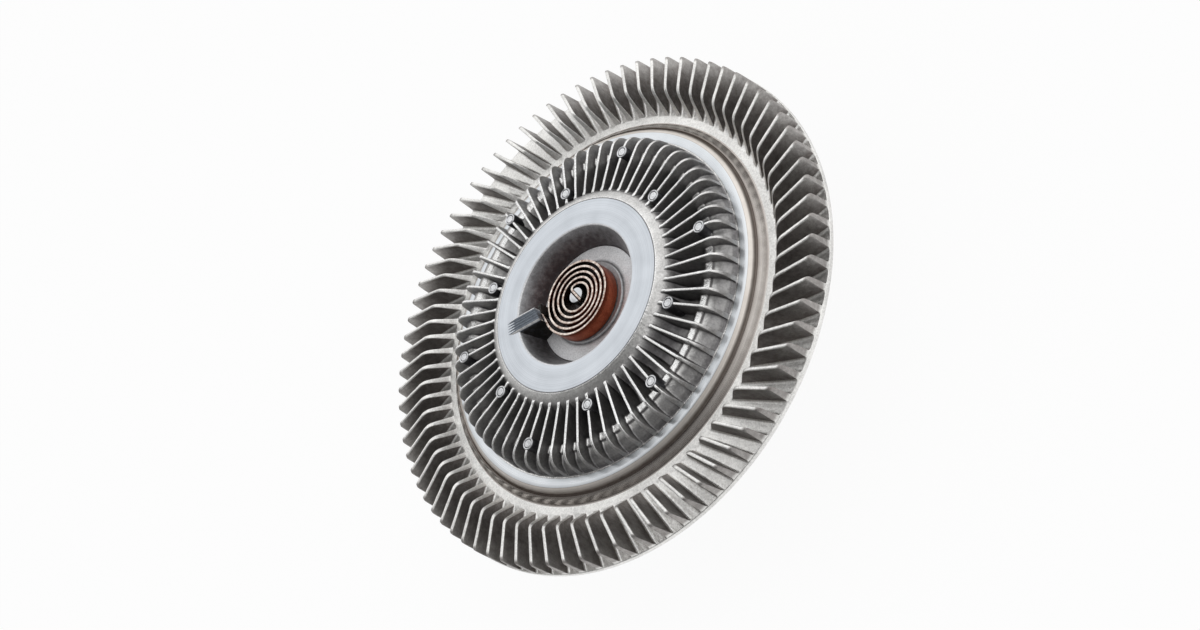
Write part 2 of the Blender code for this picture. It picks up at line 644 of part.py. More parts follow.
def build_rotor(material):
    """The disc on the input shaft, with the lands that shear the fluid."""
    bore = SHAFT_NOSE_RADIUS + FIT_GAP
    outline = [(bore, DISC_TOP)]
    for i in range(SHEAR_LAND_COUNT):
        inner = SHEAR_LAND_INNER + i * SHEAR_LAND_PITCH
        outer = inner + SHEAR_LAND_WIDTH
        outline += [(inner, DISC_TOP), (inner, DISC_TOP + SHEAR_LAND_HEIGHT),
                    (outer, DISC_TOP + SHEAR_LAND_HEIGHT), (outer, DISC_TOP)]
    outline += [(ROTOR_RADIUS, DISC_TOP), (ROTOR_RADIUS, DISC_BOTTOM),
                (ROTOR_HUB_RADIUS, DISC_BOTTOM), (ROTOR_HUB_RADIUS, ROTOR_BOTTOM),
                (bore, ROTOR_BOTTOM), (bore, DISC_TOP)]
    rotor = turned("rotor", [outline], INNER_STEPS, material)
    holes = bmesh.new()
    for i in range(ROTOR_HOLE_COUNT):
        add_rod(holes, ROTOR_HOLE_RADIUS, DISC_BOTTOM - OVERCUT, DISC_TOP + OVERCUT,
                polar(ROTOR_HOLE_CIRCLE, (i + 0.5) * math.tau / ROTOR_HOLE_COUNT))
    combine(rotor, solid("rotor_holes", holes), "DIFFERENCE")
    return rotor


def build_input_shaft(material):
    """One steel piece: hex collar with its threaded socket, bearing seat and rotor seat."""
    top = DISC_TOP + SHAFT_NOSE_PROUD
    groove_radius = SHAFT_NOSE_RADIUS - CIRCLIP_DEPTH - FIT_GAP
    groove_top = DISC_TOP + 3 * FIT_GAP + CIRCLIP_THICKNESS
    collar = HEX_HEIGHT + NECK_LENGTH
    shoulder_radius = INNER_RACE_SHOULDER - FIT_GAP
    shaft = turned("input_shaft", [[
        (0, top),
        (SHAFT_NOSE_RADIUS - SHAFT_CHAMFER, top),
        (SHAFT_NOSE_RADIUS, top - SHAFT_CHAMFER),
        (SHAFT_NOSE_RADIUS, groove_top),
        (groove_radius, groove_top),
        (groove_radius, DISC_TOP),
        (SHAFT_NOSE_RADIUS, DISC_TOP),
        (SHAFT_NOSE_RADIUS, BEARING_TOP),
        (SHAFT_RADIUS, BEARING_TOP),
        (SHAFT_RADIUS, collar),
        (shoulder_radius, collar),
        (shoulder_radius, collar - BEARING_SHOULDER_HEIGHT),
        (NECK_RADIUS, collar - BEARING_SHOULDER_HEIGHT),
        (NECK_RADIUS, HEX_HEIGHT - ROOTING),
        (0, HEX_HEIGHT - ROOTING),
    ]], SMALL_STEPS, material)
    corner_radius = HEX_ACROSS_FLATS / 2 / math.cos(math.pi / 6)
    hexagon = bmesh.new()
    add_rod(hexagon, corner_radius, 0.0, HEX_HEIGHT, steps=6)
    collar_form = solid("hex_collar", hexagon)
    edge = corner_radius - HEX_CHAMFER
    slope = HEX_CHAMFER * math.tan(math.radians(30))
    chamfers = turned("hex_chamfers", [[
        (0, HEX_HEIGHT),
        (edge, HEX_HEIGHT),
        (corner_radius + HEX_CHAMFER, HEX_HEIGHT - 2 * slope),
        (corner_radius + HEX_CHAMFER, 2 * slope),
        (edge, 0.0),
        (0, 0.0),
    ]], 24, turn=math.pi / 24)
    combine(collar_form, chamfers, "INTERSECT")
    combine(shaft, collar_form, "UNION")
    socket = turned("threaded_socket", [[
        (0, SOCKET_DEPTH),
        (SOCKET_RADIUS, SOCKET_DEPTH),
        (SOCKET_RADIUS, SOCKET_CHAMFER),
        (SOCKET_RADIUS + SOCKET_CHAMFER + OVERCUT, -OVERCUT),
        (0, -OVERCUT),
    ]], 24)
    combine(shaft, socket, "DIFFERENCE")
    return shaft


def race_arc(sign, allowance=1.0):
    """The ball race in a ring's side, from its upper to its lower edge: -1 is the inner ring's."""
    half = math.acos((RACE_RADIUS - RACE_SHOULDER) / RACE_RADIUS)
    points = []
    for i in range(4):
        angle = half * (1 - i / 1.5)
        points.append(((BALL_PITCH_RADIUS + sign * RACE_RADIUS * math.cos(angle)) * allowance,
                       BEARING_MIDDLE + RACE_RADIUS * math.sin(angle)))
    return points


def build_bearing(steel, cage_material):
    """Both rings, two shields, the cage and its balls."""
    bore = SHAFT_RADIUS + FIT_GAP
    turned("bearing_inner_ring", [[
        (bore, BEARING_TOP),
        (INNER_RACE_SHOULDER, BEARING_TOP),
        *race_arc(-1),
        (INNER_RACE_SHOULDER, BEARING_BOTTOM),
        (bore, BEARING_BOTTOM),
        (bore, BEARING_TOP),
    ]], SMALL_STEPS, steel)
    shield_radius = OUTER_RACE_SHOULDER + SHIELD_SEAT - FIT_GAP
    seat_height = BEARING_WIDTH / 2 - SHIELD_INSET - SHIELD_THICKNESS - FIT_GAP
    shoulder = OUTER_RACE_SHOULDER
    turned("bearing_outer_ring", [[
        (shoulder + SHIELD_SEAT, BEARING_TOP),
        (BEARING_RADIUS, BEARING_TOP),
        (BEARING_RADIUS, BEARING_BOTTOM),
        (shoulder + SHIELD_SEAT, BEARING_BOTTOM),
        (shoulder + SHIELD_SEAT, BEARING_MIDDLE - seat_height),
        (shoulder, BEARING_MIDDLE - seat_height),
        *reversed(race_arc(1, FACET_ALLOWANCE)),
        (shoulder, BEARING_MIDDLE + seat_height),
        (shoulder + SHIELD_SEAT, BEARING_MIDDLE + seat_height),
        (shoulder + SHIELD_SEAT, BEARING_TOP),
    ]], SMALL_STEPS, steel)
    shield_bore = INNER_RACE_SHOULDER + FIT_GAP
    for name, low in (("bearing_shield_front", BEARING_TOP - SHIELD_INSET - SHIELD_THICKNESS),
                      ("bearing_shield_rear", BEARING_BOTTOM + SHIELD_INSET)):
        high = low + SHIELD_THICKNESS
        turned(name, [[(shield_bore, high), (shield_radius, high), (shield_radius, low),
                       (shield_bore, low), (shield_bore, high)]], SMALL_STEPS, steel)
    pocket = (BALL_RADIUS + FIT_GAP) / math.cos(math.pi / 8)
    half_height = pocket + CAGE_WEB
    inner = BALL_PITCH_RADIUS - CAGE_THICKNESS / 2
    outer = BALL_PITCH_RADIUS + CAGE_THICKNESS / 2
    cage = turned("bearing_cage", [[
        (inner, BEARING_MIDDLE + half_height),
        (outer, BEARING_MIDDLE + half_height),
        (outer, BEARING_MIDDLE - half_height),
        (inner, BEARING_MIDDLE - half_height),
        (inner, BEARING_MIDDLE + half_height),
    ]], 2 * BALL_COUNT, cage_material, math.pi / BALL_COUNT / 2)
    pockets = bmesh.new()
    lay_down = Matrix.Rotation(math.pi / 2, 4, "Y")
    for i in range(BALL_COUNT):
        spin = Matrix.Rotation(i * math.tau / BALL_COUNT, 4, "Z")
        place = spin @ Matrix.Translation((BALL_PITCH_RADIUS, 0, BEARING_MIDDLE)) @ lay_down
        bmesh.ops.create_cone(pockets, cap_ends=True, segments=8, radius1=pocket,
                              radius2=pocket, depth=2 * CAGE_THICKNESS, matrix=place)
    combine(cage, solid("cage_pockets", pockets), "DIFFERENCE")
    for i in range(BALL_COUNT):
        ball = bmesh.new()
        bmesh.ops.create_uvsphere(ball, u_segments=8, v_segments=5, radius=BALL_RADIUS)
        piece = solid(f"bearing_ball_{i + 1}", ball, steel)
        x, y = polar(BALL_PITCH_RADIUS, i * math.tau / BALL_COUNT)
        piece.location = (x, y, BEARING_MIDDLE)


def open_ring(name, inner, outer, bottom, thickness, mouth, mouth_angle, material):
    """A retaining ring: flat, with a gap in it."""
    ring = turned(name, [[
        (inner, bottom + thickness),
        (outer, bottom + thickness),
        (outer, bottom),
        (inner, bottom),
        (inner, bottom + thickness),
    ]], SMALL_STEPS, material)
    gap = bmesh.new()
    add_box(gap, (inner / 2, -mouth / 2, bottom - OVERCUT),
            (outer + OVERCUT, mouth / 2, bottom + thickness + OVERCUT), mouth_angle)
    combine(ring, solid(name + "_mouth", gap), "DIFFERENCE")
    return ring


def build_circlips(steel):
    inner = SHAFT_NOSE_RADIUS - CIRCLIP_DEPTH
    open_ring("rotor_circlip", inner, inner + CIRCLIP_WIDTH, DISC_TOP + FIT_GAP,
              CIRCLIP_THICKNESS, CIRCLIP_MOUTH, math.radians(9), steel)
    outer = BEARING_BORE_RADIUS + CIRCLIP_DEPTH
    open_ring("bearing_circlip", outer - CIRCLIP_WIDTH, outer, CLIP_BOTTOM,
              CIRCLIP_THICKNESS, 2 * CIRCLIP_MOUTH, math.radians(-90), steel)


def stud_angle(i):
    return STUD_FIRST_ANGLE + i * math.tau / STUD_COUNT


def build_fan_studs(steel):
    for i in range(STUD_COUNT):
        top, bottom = FAN_SEAT + STUD_HOLD, FAN_SEAT - STUD_LENGTH
        stud = turned(f"fan_stud_{i + 1}", [[
            (0, top), (STUD_RADIUS, top), (STUD_RADIUS, bottom + STUD_CHAMFER),
            (STUD_RADIUS - STUD_CHAMFER, bottom), (0, bottom),
        ]], ROD_STEPS, steel)
        stud.location = (*polar(STUD_CIRCLE_RADIUS, stud_angle(i)), 0)


def plate_screw_angle(i):
    return (i + 0.5) * math.tau / PLATE_SCREW_COUNT


def build_pump_plate(steel):
    """The plate that closes the reservoir, with the port that the valve arm covers."""
    plate = turned("pump_plate", [[
        (0, PLATE_TOP), (PLATE_RADIUS, PLATE_TOP), (PLATE_RADIUS, PLATE_BOTTOM), (0, PLATE_BOTTOM),
    ]], INNER_STEPS, steel, INNER_TURN)
    openings = bmesh.new()
    add_box(openings, (PORT_RADIUS - PORT_WIDTH / 2, -PORT_LENGTH / 2, PLATE_BOTTOM - OVERCUT),
            (PORT_RADIUS + PORT_WIDTH / 2, PORT_LENGTH / 2, PLATE_TOP + OVERCUT), PORT_ANGLE)
    for i in range(PLATE_SCREW_COUNT):
        add_rod(openings, PLATE_SCREW_RADIUS + FIT_GAP, PLATE_BOTTOM - OVERCUT,
                PLATE_TOP + OVERCUT, polar(PLATE_SCREW_CIRCLE, plate_screw_angle(i)), 8)
    combine(plate, solid("plate_openings", openings), "DIFFERENCE")
    for i in range(PLATE_SCREW_COUNT):
        head_top = PLATE_BOTTOM - FIT_GAP
        head_bottom = head_top - PLATE_SCREW_HEAD_HEIGHT
        screw = turned(f"plate_screw_{i + 1}", [[
            (0, PLATE_BOTTOM + PLATE_SCREW_LENGTH),
            (PLATE_SCREW_RADIUS, PLATE_BOTTOM + PLATE_SCREW_LENGTH),
            (PLATE_SCREW_RADIUS, head_top),
            (PLATE_SCREW_HEAD_RADIUS, head_top),
            (PLATE_SCREW_HEAD_RADIUS * 0.8, head_bottom),
            (0, head_bottom),
        ]], 8, steel)
        screw.location = (*polar(PLATE_SCREW_CIRCLE, plate_screw_angle(i)), 0)


def build_valve(steel, spring_steel, rubber):
    """The shaft that the coil turns, its arm over the port, a clip and the shaft seal."""
    shoulder = ARM_TOP + FIT_GAP
    clip_bottom = shoulder + VALVE_COLLAR + FIT_GAP
    top = COIL_TOP + VALVE_TOP_PROUD
    shaft = turned("valve_shaft", [[
        (0, top),
        (VALVE_RADIUS - FIT_GAP, top),
        (VALVE_RADIUS, top - FIT_GAP),
        (VALVE_RADIUS, clip_bottom + VALVE_CLIP_THICKNESS + FIT_GAP),
        (VALVE_GROOVE_RADIUS, clip_bottom + VALVE_CLIP_THICKNESS + FIT_GAP),
        (VALVE_GROOVE_RADIUS, clip_bottom - FIT_GAP),
        (VALVE_RADIUS, clip_bottom - FIT_GAP),
        (VALVE_RADIUS, shoulder),
        (VALVE_SPIGOT_RADIUS, shoulder),
        (VALVE_SPIGOT_RADIUS, ARM_BOTTOM),
        (0, ARM_BOTTOM),
    ]], SMALL_STEPS, steel)
    slot = bmesh.new()
    reach = VALVE_RADIUS + OVERCUT
    add_box(slot, (-reach, -COIL_SLOT / 2, COIL_BOTTOM - FIT_GAP),
            (reach, COIL_SLOT / 2, top + OVERCUT), coil_slot_angle())
    combine(shaft, solid("coil_slot", slot), "DIFFERENCE")
    open_ring("valve_clip", VALVE_GROOVE_RADIUS + FIT_GAP, VALVE_CLIP_RADIUS, clip_bottom,
              VALVE_CLIP_THICKNESS, VALVE_CLIP_MOUTH, math.radians(90), steel)
    arm = bmesh.new()
    add_rod(arm, ARM_HUB_RADIUS, ARM_BOTTOM, ARM_TOP, steps=16)
    lever = solid("valve_arm", arm, spring_steel)
    strip = bmesh.new()
    add_box(strip, (0, -ARM_WIDTH / 2, ARM_BOTTOM), (PORT_RADIUS, ARM_WIDTH / 2, ARM_TOP),
            PORT_ANGLE)
    combine(lever, solid("arm_strip", strip), "UNION")
    pad = bmesh.new()
    add_rod(pad, ARM_PAD_RADIUS, ARM_BOTTOM, ARM_TOP, polar(PORT_RADIUS, PORT_ANGLE), 14)
    combine(lever, solid("arm_pad", pad), "UNION")
    hole = bmesh.new()
    add_rod(hole, VALVE_SPIGOT_RADIUS + FIT_GAP, ARM_BOTTOM - OVERCUT, ARM_TOP + OVERCUT)
    combine(lever, solid("arm_hole", hole), "DIFFERENCE")
    centre = BOSS_TOP - GLAND_DEPTH / 2
    ring_radius = VALVE_RADIUS + FIT_GAP + VALVE_SEAL_RADIUS
    section = [(ring_radius + VALVE_SEAL_RADIUS * math.cos(a), centre + VALVE_SEAL_RADIUS * math.sin(a))
               for a in (math.pi / 2 - i * math.tau / 5 for i in range(5))]
    turned("valve_seal", [section + section[:1]], SMALL_STEPS, rubber)


def coil_slot_angle():
    """The direction in which the coil's inner end leaves the slotted shaft."""
    return COIL_LEAVE_ANGLE + COIL_TURNS * math.tau + math.atan2(COIL_BEND_RADIUS, COIL_INNER_RADIUS)


def coil_tail():
    """Where the strip leaves its outer turn, its direction, and its run to the post's middle."""
    start = Vector(polar(COIL_RADIUS, COIL_LEAVE_ANGLE))
    along = Vector((math.sin(COIL_LEAVE_ANGLE), -math.cos(COIL_LEAVE_ANGLE)))
    across_post = Vector((-math.sin(POST_ANGLE), math.cos(POST_ANGLE)))
    return start, along, -start.dot(across_post) / along.dot(across_post)


def coil_path():
    """The strip's middle line: tail in the post, spiral inwards, bend into the shaft's slot."""
    start, along, run = coil_tail()
    points = [start + along * (run + TAIL_PAST_POST), start + along * run, start + along * run / 2]
    steps = round(COIL_TURNS * math.tau / COIL_STEP)
    end_radius = math.hypot(COIL_INNER_RADIUS, COIL_BEND_RADIUS)
    for i in range(steps + 1):
        share = i / steps
        radius = COIL_RADIUS + (end_radius - COIL_RADIUS) * share
        points.append(Vector(polar(radius, COIL_LEAVE_ANGLE + COIL_TURNS * math.tau * share)))
    outward = Vector(polar(1.0, coil_slot_angle()))
    clockwise = Vector((outward.y, -outward.x))
    centre = outward * (COIL_INNER_RADIUS - COIL_BEND_RADIUS) + clockwise * COIL_BEND_RADIUS
    for i in range(1, 4):
        angle = i * math.pi / 6
        points.append(centre + outward * COIL_BEND_RADIUS * math.cos(angle)
                      - clockwise * COIL_BEND_RADIUS * math.sin(angle))
    points.append(-outward * (VALVE_RADIUS - COIL_SLOT_CLEARANCE))
    return points


def build_coil(material):
    """The bimetal strip: a ribbon along the path, given its thickness by Solidify."""
    form = bmesh.new()
    lower = [form.verts.new((p.x, p.y, COIL_BOTTOM)) for p in coil_path()]
    upper = [form.verts.new((p.x, p.y, COIL_TOP)) for p in coil_path()]
    for i in range(len(lower) - 1):
        form.faces.new((lower[i], lower[i + 1], upper[i + 1], upper[i]))
    coil = solid("bimetal_coil", form, material)
    thicken = coil.modifiers.new("Thickness", "SOLIDIFY")
    thicken.thickness = COIL_THICKNESS
    thicken.offset = 0.0
    return coil


def post_slot():
    """The slot across the post's inner end that grips the coil's tail."""
    start, along, run = coil_tail()
    middle = start + along * run
    slot = bmesh.new()
    place = Matrix.Translation((middle.x, middle.y, 0)) @ Matrix.Rotation(
        math.atan2(along.y, along.x), 4, "Z")
    add_box(slot, (-POST_WIDTH, -COIL_SLOT / 2, COIL_BOTTOM - FIT_GAP),
            (POST_WIDTH, COIL_SLOT / 2, POST_TOP + OVERCUT))
    bmesh.ops.transform(slot, matrix=place, verts=slot.verts)
    return solid("post_slot", slot)


def add_axis(name, members):
    """An empty on the clutch's axis that carries one group of pieces."""
    axis = bpy.data.objects.new(name, None)
    parts.objects.link(axis)
    for piece in parts.objects:
        if piece.type == "MESH" and piece.name.startswith(members):
            piece.parent = axis


clear_scene()
parts = new_collection("viscous_fan_clutch")
tools = new_collection("cutters")

cast_aluminium = new_material("cast_aluminium", (0.68, 0.67, 0.65), 0.42, 1.0)
turned_steel = new_material("turned_steel", (0.55, 0.55, 0.56), 0.30, 1.0)
bearing_steel = new_material("bearing_steel", (0.66, 0.66, 0.68), 0.18, 1.0)
spring_strip = new_material("spring_strip", (0.60, 0.58, 0.52), 0.35, 1.0)
bimetal = new_material("bimetal", (0.62, 0.25, 0.14), 0.40, 1.0)
black_rubber = new_material("black_rubber", (0.03, 0.03, 0.03), 0.60, 0.0)
cage_plastic = new_material("cage_plastic", (0.72, 0.66, 0.50), 0.50, 0.0)

build_housing(cast_aluminium)
build_cover_seal(black_rubber)
build_cover(cast_aluminium)
build_rotor(cast_aluminium)
build_input_shaft(turned_steel)
build_bearing(bearing_steel, cage_plastic)
build_circlips(turned_steel)
build_fan_studs(turned_steel)
build_pump_plate(turned_steel)
build_valve(turned_steel, spring_strip, black_rubber)
build_coil(bimetal)

add_axis("drive_axis", ("input_shaft", "rotor", "bearing_inner_ring"))
add_axis("cage_axis", ("bearing_cage", "bearing_ball"))
add_axis("valve_axis", ("valve_shaft", "valve_arm", "valve_clip"))
add_axis("housing_axis", ("housing", "cover", "pump_plate", "plate_screw", "bearing_outer_ring",
                          "bearing_shield", "bearing_circlip", "fan_stud", "valve_seal",
                          "bimetal_coil"))
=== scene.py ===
"""The looks of a viscous fan clutch: cast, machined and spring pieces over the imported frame."""
import math

import bmesh
import bpy
import numpy as np
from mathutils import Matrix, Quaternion, Vector


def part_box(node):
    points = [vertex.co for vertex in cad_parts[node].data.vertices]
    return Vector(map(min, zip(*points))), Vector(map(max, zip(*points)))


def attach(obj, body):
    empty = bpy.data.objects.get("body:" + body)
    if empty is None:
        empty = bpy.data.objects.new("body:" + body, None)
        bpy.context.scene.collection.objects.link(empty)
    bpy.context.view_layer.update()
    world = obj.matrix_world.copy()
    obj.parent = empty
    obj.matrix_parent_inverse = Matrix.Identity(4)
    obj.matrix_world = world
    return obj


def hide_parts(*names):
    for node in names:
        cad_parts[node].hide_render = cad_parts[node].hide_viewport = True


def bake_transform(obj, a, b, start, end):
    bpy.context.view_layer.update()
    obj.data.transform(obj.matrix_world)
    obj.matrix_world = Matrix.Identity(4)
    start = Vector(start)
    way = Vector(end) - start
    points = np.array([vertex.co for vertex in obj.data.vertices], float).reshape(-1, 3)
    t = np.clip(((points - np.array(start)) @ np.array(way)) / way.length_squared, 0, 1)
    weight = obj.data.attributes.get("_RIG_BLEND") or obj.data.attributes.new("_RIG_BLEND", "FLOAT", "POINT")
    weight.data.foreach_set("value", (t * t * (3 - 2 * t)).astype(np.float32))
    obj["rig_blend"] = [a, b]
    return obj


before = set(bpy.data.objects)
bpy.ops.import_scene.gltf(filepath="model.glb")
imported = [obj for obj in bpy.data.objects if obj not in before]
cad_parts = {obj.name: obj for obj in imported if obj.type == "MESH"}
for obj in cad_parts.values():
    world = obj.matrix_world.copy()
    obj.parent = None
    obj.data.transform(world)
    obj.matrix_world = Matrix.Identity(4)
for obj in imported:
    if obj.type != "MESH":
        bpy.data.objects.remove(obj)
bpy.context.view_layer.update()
MM = 0.001

# The finned flange is the front of the rear casting: a thin disc with straight, skewed
# cooling blades. It is pressure die cast aluminium, tumbled, so that the top edges of the
# blades are rubbed bright while their sides keep the grey casting skin. The bright mark also
# paints shade: the sides darken towards their feet and fillets, and the outer ends of the tops
# are darker. The sides are also marked lighter towards the rim.
BLADE_TOP = 10.0            # above the land, the flat ring inside the blades
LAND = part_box("housing")[1].z / MM - BLADE_TOP
LAND_RADIUS = 82.3
RIM_RADIUS = 110.0
FLOOR_FALL = 0.9            # from the land out to the rim
BLADE_COUNT = 80
BLADE_TANGENT = 35.8        # each blade lies along a tangent of this circle
BLADE_FIRST = math.radians(0.57)
CREASE = math.radians(38)   # edges sharper than this are shaded sharp
WELD = 0.000002             # metres
NICKED_ABOVE = 0.9               # only points marked brighter than this are nicked: rubbed edges and painted highlights
chips = np.random.default_rng(11)


def node(tree, kind, inputs=(), **settings):
    """Adds a shader node; each input gets a value, or a link where it is given a socket."""
    made = tree.nodes.new("ShaderNode" + kind)
    for key, value in settings.items():
        setattr(made, key, value)
    for key, value in dict(inputs).items():
        if isinstance(value, bpy.types.NodeSocket):
            tree.links.new(value, made.inputs[key])
        else:
            made.inputs[key].default_value = value
    return made


def arithmetic(tree, operation, first, second=0.0):
    return node(tree, "Math", {0: first, 1: second}, operation=operation).outputs[0]


def spread(tree, value, low, high, new_low=0.0, new_high=1.0):
    return node(tree, "MapRange", {"Value": value, "From Min": low, "From Max": high,
                                   "To Min": new_low, "To Max": new_high}).outputs[0]


def mixed(tree, share, first, second):
    return node(tree, "Mix", {0: share, 6: first, 7: second}, data_type="RGBA").outputs[2]


def paint(red, green, blue):
    """A colour as a screen shows it, 0 to 255, for a shader."""
    linear = [(c / 255 / 12.92) if c < 10.3 else ((c / 255 + 0.055) / 1.055) ** 2.4
              for c in (red, green, blue)]
    return (*linear, 1.0)


def new_group(name, inputs, outputs):
    tree = bpy.data.node_groups.new(name, "ShaderNodeTree")
    for label, value in inputs:
        socket = tree.interface.new_socket(label, in_out="INPUT", socket_type="NodeSocketFloat")
        socket.default_value = value
    for label in outputs:
        tree.interface.new_socket(label, in_out="OUTPUT", socket_type="NodeSocketFloat")
    taken = tree.nodes.new("NodeGroupInput").outputs
    given = tree.nodes.new("NodeGroupOutput").inputs
    return tree, taken, given


def effect(tree, group, inputs=()):
    made = tree.nodes.new("ShaderNodeGroup")
    made.node_tree = group
    for key, value in dict(inputs).items():
        if isinstance(value, bpy.types.NodeSocket):
            tree.links.new(value, made.inputs[key])
        else:
            made.inputs[key].default_value = value
    return made.outputs


def new_finish(name, metallic, roughness):
    """A material with a Principled shader; its tree and the shader's inputs come back too."""
    material = bpy.data.materials.new(name)
    material.use_nodes = True
    shader = material.node_tree.nodes["Principled BSDF"]
    shader.inputs["Metallic"].default_value = metallic
    shader.inputs["Roughness"].default_value = roughness
    return material, material.node_tree, shader


def feed(tree, shader, colour=None, roughness=None, height=None, depth=0.0001, strength=1.0):
    if colour is not None:
        tree.links.new(colour, shader.inputs["Base Color"])
    if roughness is not None:
        tree.links.new(roughness, shader.inputs["Roughness"])
    if height is not None:
        bump = node(tree, "Bump", {"Height": height, "Distance": depth, "Strength": strength})
        tree.links.new(bump.outputs[0], shader.inputs["Normal"])


# grain of a die cast skin: clouds of tone, and a fine pitted height
cast_skin, taken, given = new_group("cast skin", [("Grain", 1300.0), ("Clouds", 60.0)],
                                    ["Tone", "Height"])
spot = node(cast_skin, "TexCoord").outputs["Object"]
fine = node(cast_skin, "TexNoise", {"Vector": spot, "Scale": taken["Grain"], "Detail": 3.0,
                                    "Roughness": 0.65}).outputs[0]
clouds = node(cast_skin, "TexNoise", {"Vector": spot, "Scale": taken["Clouds"], "Detail": 5.0,
                                      "Roughness": 0.6}).outputs[0]
pits = node(cast_skin, "TexVoronoi", {"Vector": spot, "Scale": 620.0}).outputs["Distance"]
grain = spread(cast_skin, fine, 0.38, 0.62)
tone = arithmetic(cast_skin, "ADD", arithmetic(cast_skin, "MULTIPLY", grain, 0.5),
                  arithmetic(cast_skin, "MULTIPLY", spread(cast_skin, clouds, 0.35, 0.65), 0.5))
cast_skin.links.new(tone, given["Tone"])
cast_skin.links.new(arithmetic(cast_skin, "ADD", fine,
                               arithmetic(cast_skin, "MULTIPLY", pits, 0.5)), given["Height"])

# the mesh's own bright mark, broken up by a noise: where tumbling has rubbed the skin bright,
# and where highlights and shade are painted on
wear_and_light_mark, taken, given = new_group("wear and light mark", [("Breakup", 0.35)], ["Rub"])
mark = node(wear_and_light_mark, "Attribute", attribute_name="bright").outputs["Fac"]
spot = node(wear_and_light_mark, "TexCoord").outputs["Object"]
patchy = node(wear_and_light_mark, "TexNoise", {"Vector": spot, "Scale": 420.0, "Detail": 4.0}).outputs[0]
shift = arithmetic(wear_and_light_mark, "MULTIPLY", arithmetic(wear_and_light_mark, "SUBTRACT", patchy, 0.5),
                   taken["Breakup"])
wear_and_light_mark.links.new(node(wear_and_light_mark, "Clamp", {
    "Value": arithmetic(wear_and_light_mark, "ADD", mark, shift)}).outputs[0], given["Rub"])


def cast_aluminium(name, shaded, skin_colour, edge_colour, grain_scale=1300.0, dull=0.55,
                   bright=0.34, metallic=1.0):
    """Raw casting: painted shade where the mark is low, lighter skin on open faces, bright on rubbed edges
    and painted highlights.
    """
    material, tree, shader = new_finish(name, metallic, 0.5)
    cast = effect(tree, cast_skin, {"Grain": grain_scale})
    wear_and_light = effect(tree, wear_and_light_mark)["Rub"]
    low, middle, worn_and_highlight = [
        mixed(tree, cast["Tone"], paint(*[dimmed * c for c in colour]), paint(*colour))
        for colour, dimmed in ((shaded, 0.82), (skin_colour, 0.8), (edge_colour, 0.8))]
    colour = mixed(tree, spread(tree, wear_and_light, 0.0, 0.6), low, middle)
    colour = mixed(tree, spread(tree, wear_and_light, 0.72, 0.98), colour, worn_and_highlight)
    feed(tree, shader, colour, spread(tree, wear_and_light, 0.2, 1.0, dull, bright), cast["Height"],
         0.00022, 0.55)
    return material


flange_metal = cast_aluminium("flange casting", (146, 140, 137), (255, 254, 251), (248, 247, 244))


def skin(name, points, bright, materials, slots=None):
    """A closed strip of quads over rows of points; every row runs once round the piece."""
    rows, columns = points.shape[:2]
    index = np.arange(rows * columns).reshape(rows, columns)
    here, there = index[:-1], index[1:]
    quads = np.stack([here, there, np.roll(there, -1, 1), np.roll(here, -1, 1)], axis=-1)
    mesh = bpy.data.meshes.new(name)
    mesh.from_pydata((points.reshape(-1, 3) * MM).tolist(), [], quads.reshape(-1, 4).tolist())
    shine = np.broadcast_to(np.asarray(bright, float), (rows, columns)).astype(np.float32)
    mesh.attributes.new("bright", "FLOAT", "POINT").data.foreach_set("value", shine.ravel())
    for material in materials:
        mesh.materials.append(material)
    if slots is not None:
        mesh.polygons.foreach_set("material_index", np.repeat(slots, columns).astype(np.int32))
    return finished(name, mesh)


def finished(name, mesh):
    """Closes the poles of a mesh, shades it smooth between its creases, puts it in the scene."""
    form = bmesh.new()
    form.from_mesh(mesh)
    bmesh.ops.remove_doubles(form, verts=form.verts, dist=WELD)
    form.to_mesh(mesh)
    form.free()
    mesh.shade_smooth()
    mesh.set_sharp_from_angle(angle=CREASE)
    piece = bpy.data.objects.new(name, mesh)
    bpy.context.scene.collection.objects.link(piece)
    return piece


def blade_section(floor, crest, reach, gap_bright, top_half, draft, height, edge, fillet,
                  top_bright, side_bright):
    """Half of one blade across its length, from its middle to the middle of the gap.

    The points are (across, height, brightness); side_bright is for the top, middle and foot of
    the blade's side, falling towards the foot as painted shade. The gap is painted darker
    into the fillet at the foot.
    """
    rise = crest - floor
    round_over = min(edge, 0.35 * rise)
    foot_round = min(fillet, 0.45 * rise)

    def half(z):
        return top_half + draft * (height - z)

    points = [(0.0, crest, top_bright), (half(crest) - edge, crest, top_bright),
              (half(crest) - 0.3 * edge, crest - 0.3 * round_over, top_bright),
              (half(crest - round_over), crest - round_over, 0.9 * top_bright)]
    side = rise - round_over - foot_round
    for share, shine in zip((0.03, 0.5, 1.0), side_bright):
        z = crest - round_over - side * share
        points.append((half(z), z, shine if rise > 0.5 else gap_bright))
    foot = half(floor + foot_round)
    # the fillet is painted darker than the gap, as shade in the crease at the blade's foot
    for i in (1, 2, 3):
        angle = i * math.pi / 6
        points.append((foot + fillet * (1 - math.cos(angle)),
                       floor + foot_round * (1 - math.sin(angle)), gap_bright * (0.4 + 0.2 * i)))
    points += [((foot + fillet + reach) / 2, floor, gap_bright), (reach, floor, gap_bright)]
    points = np.array(points)
    points[1:, 0] += 0.015 * np.arange(1, len(points))     # keeps the points apart
    if rise < 0.05:
        points[:, 2] = gap_bright
    return points


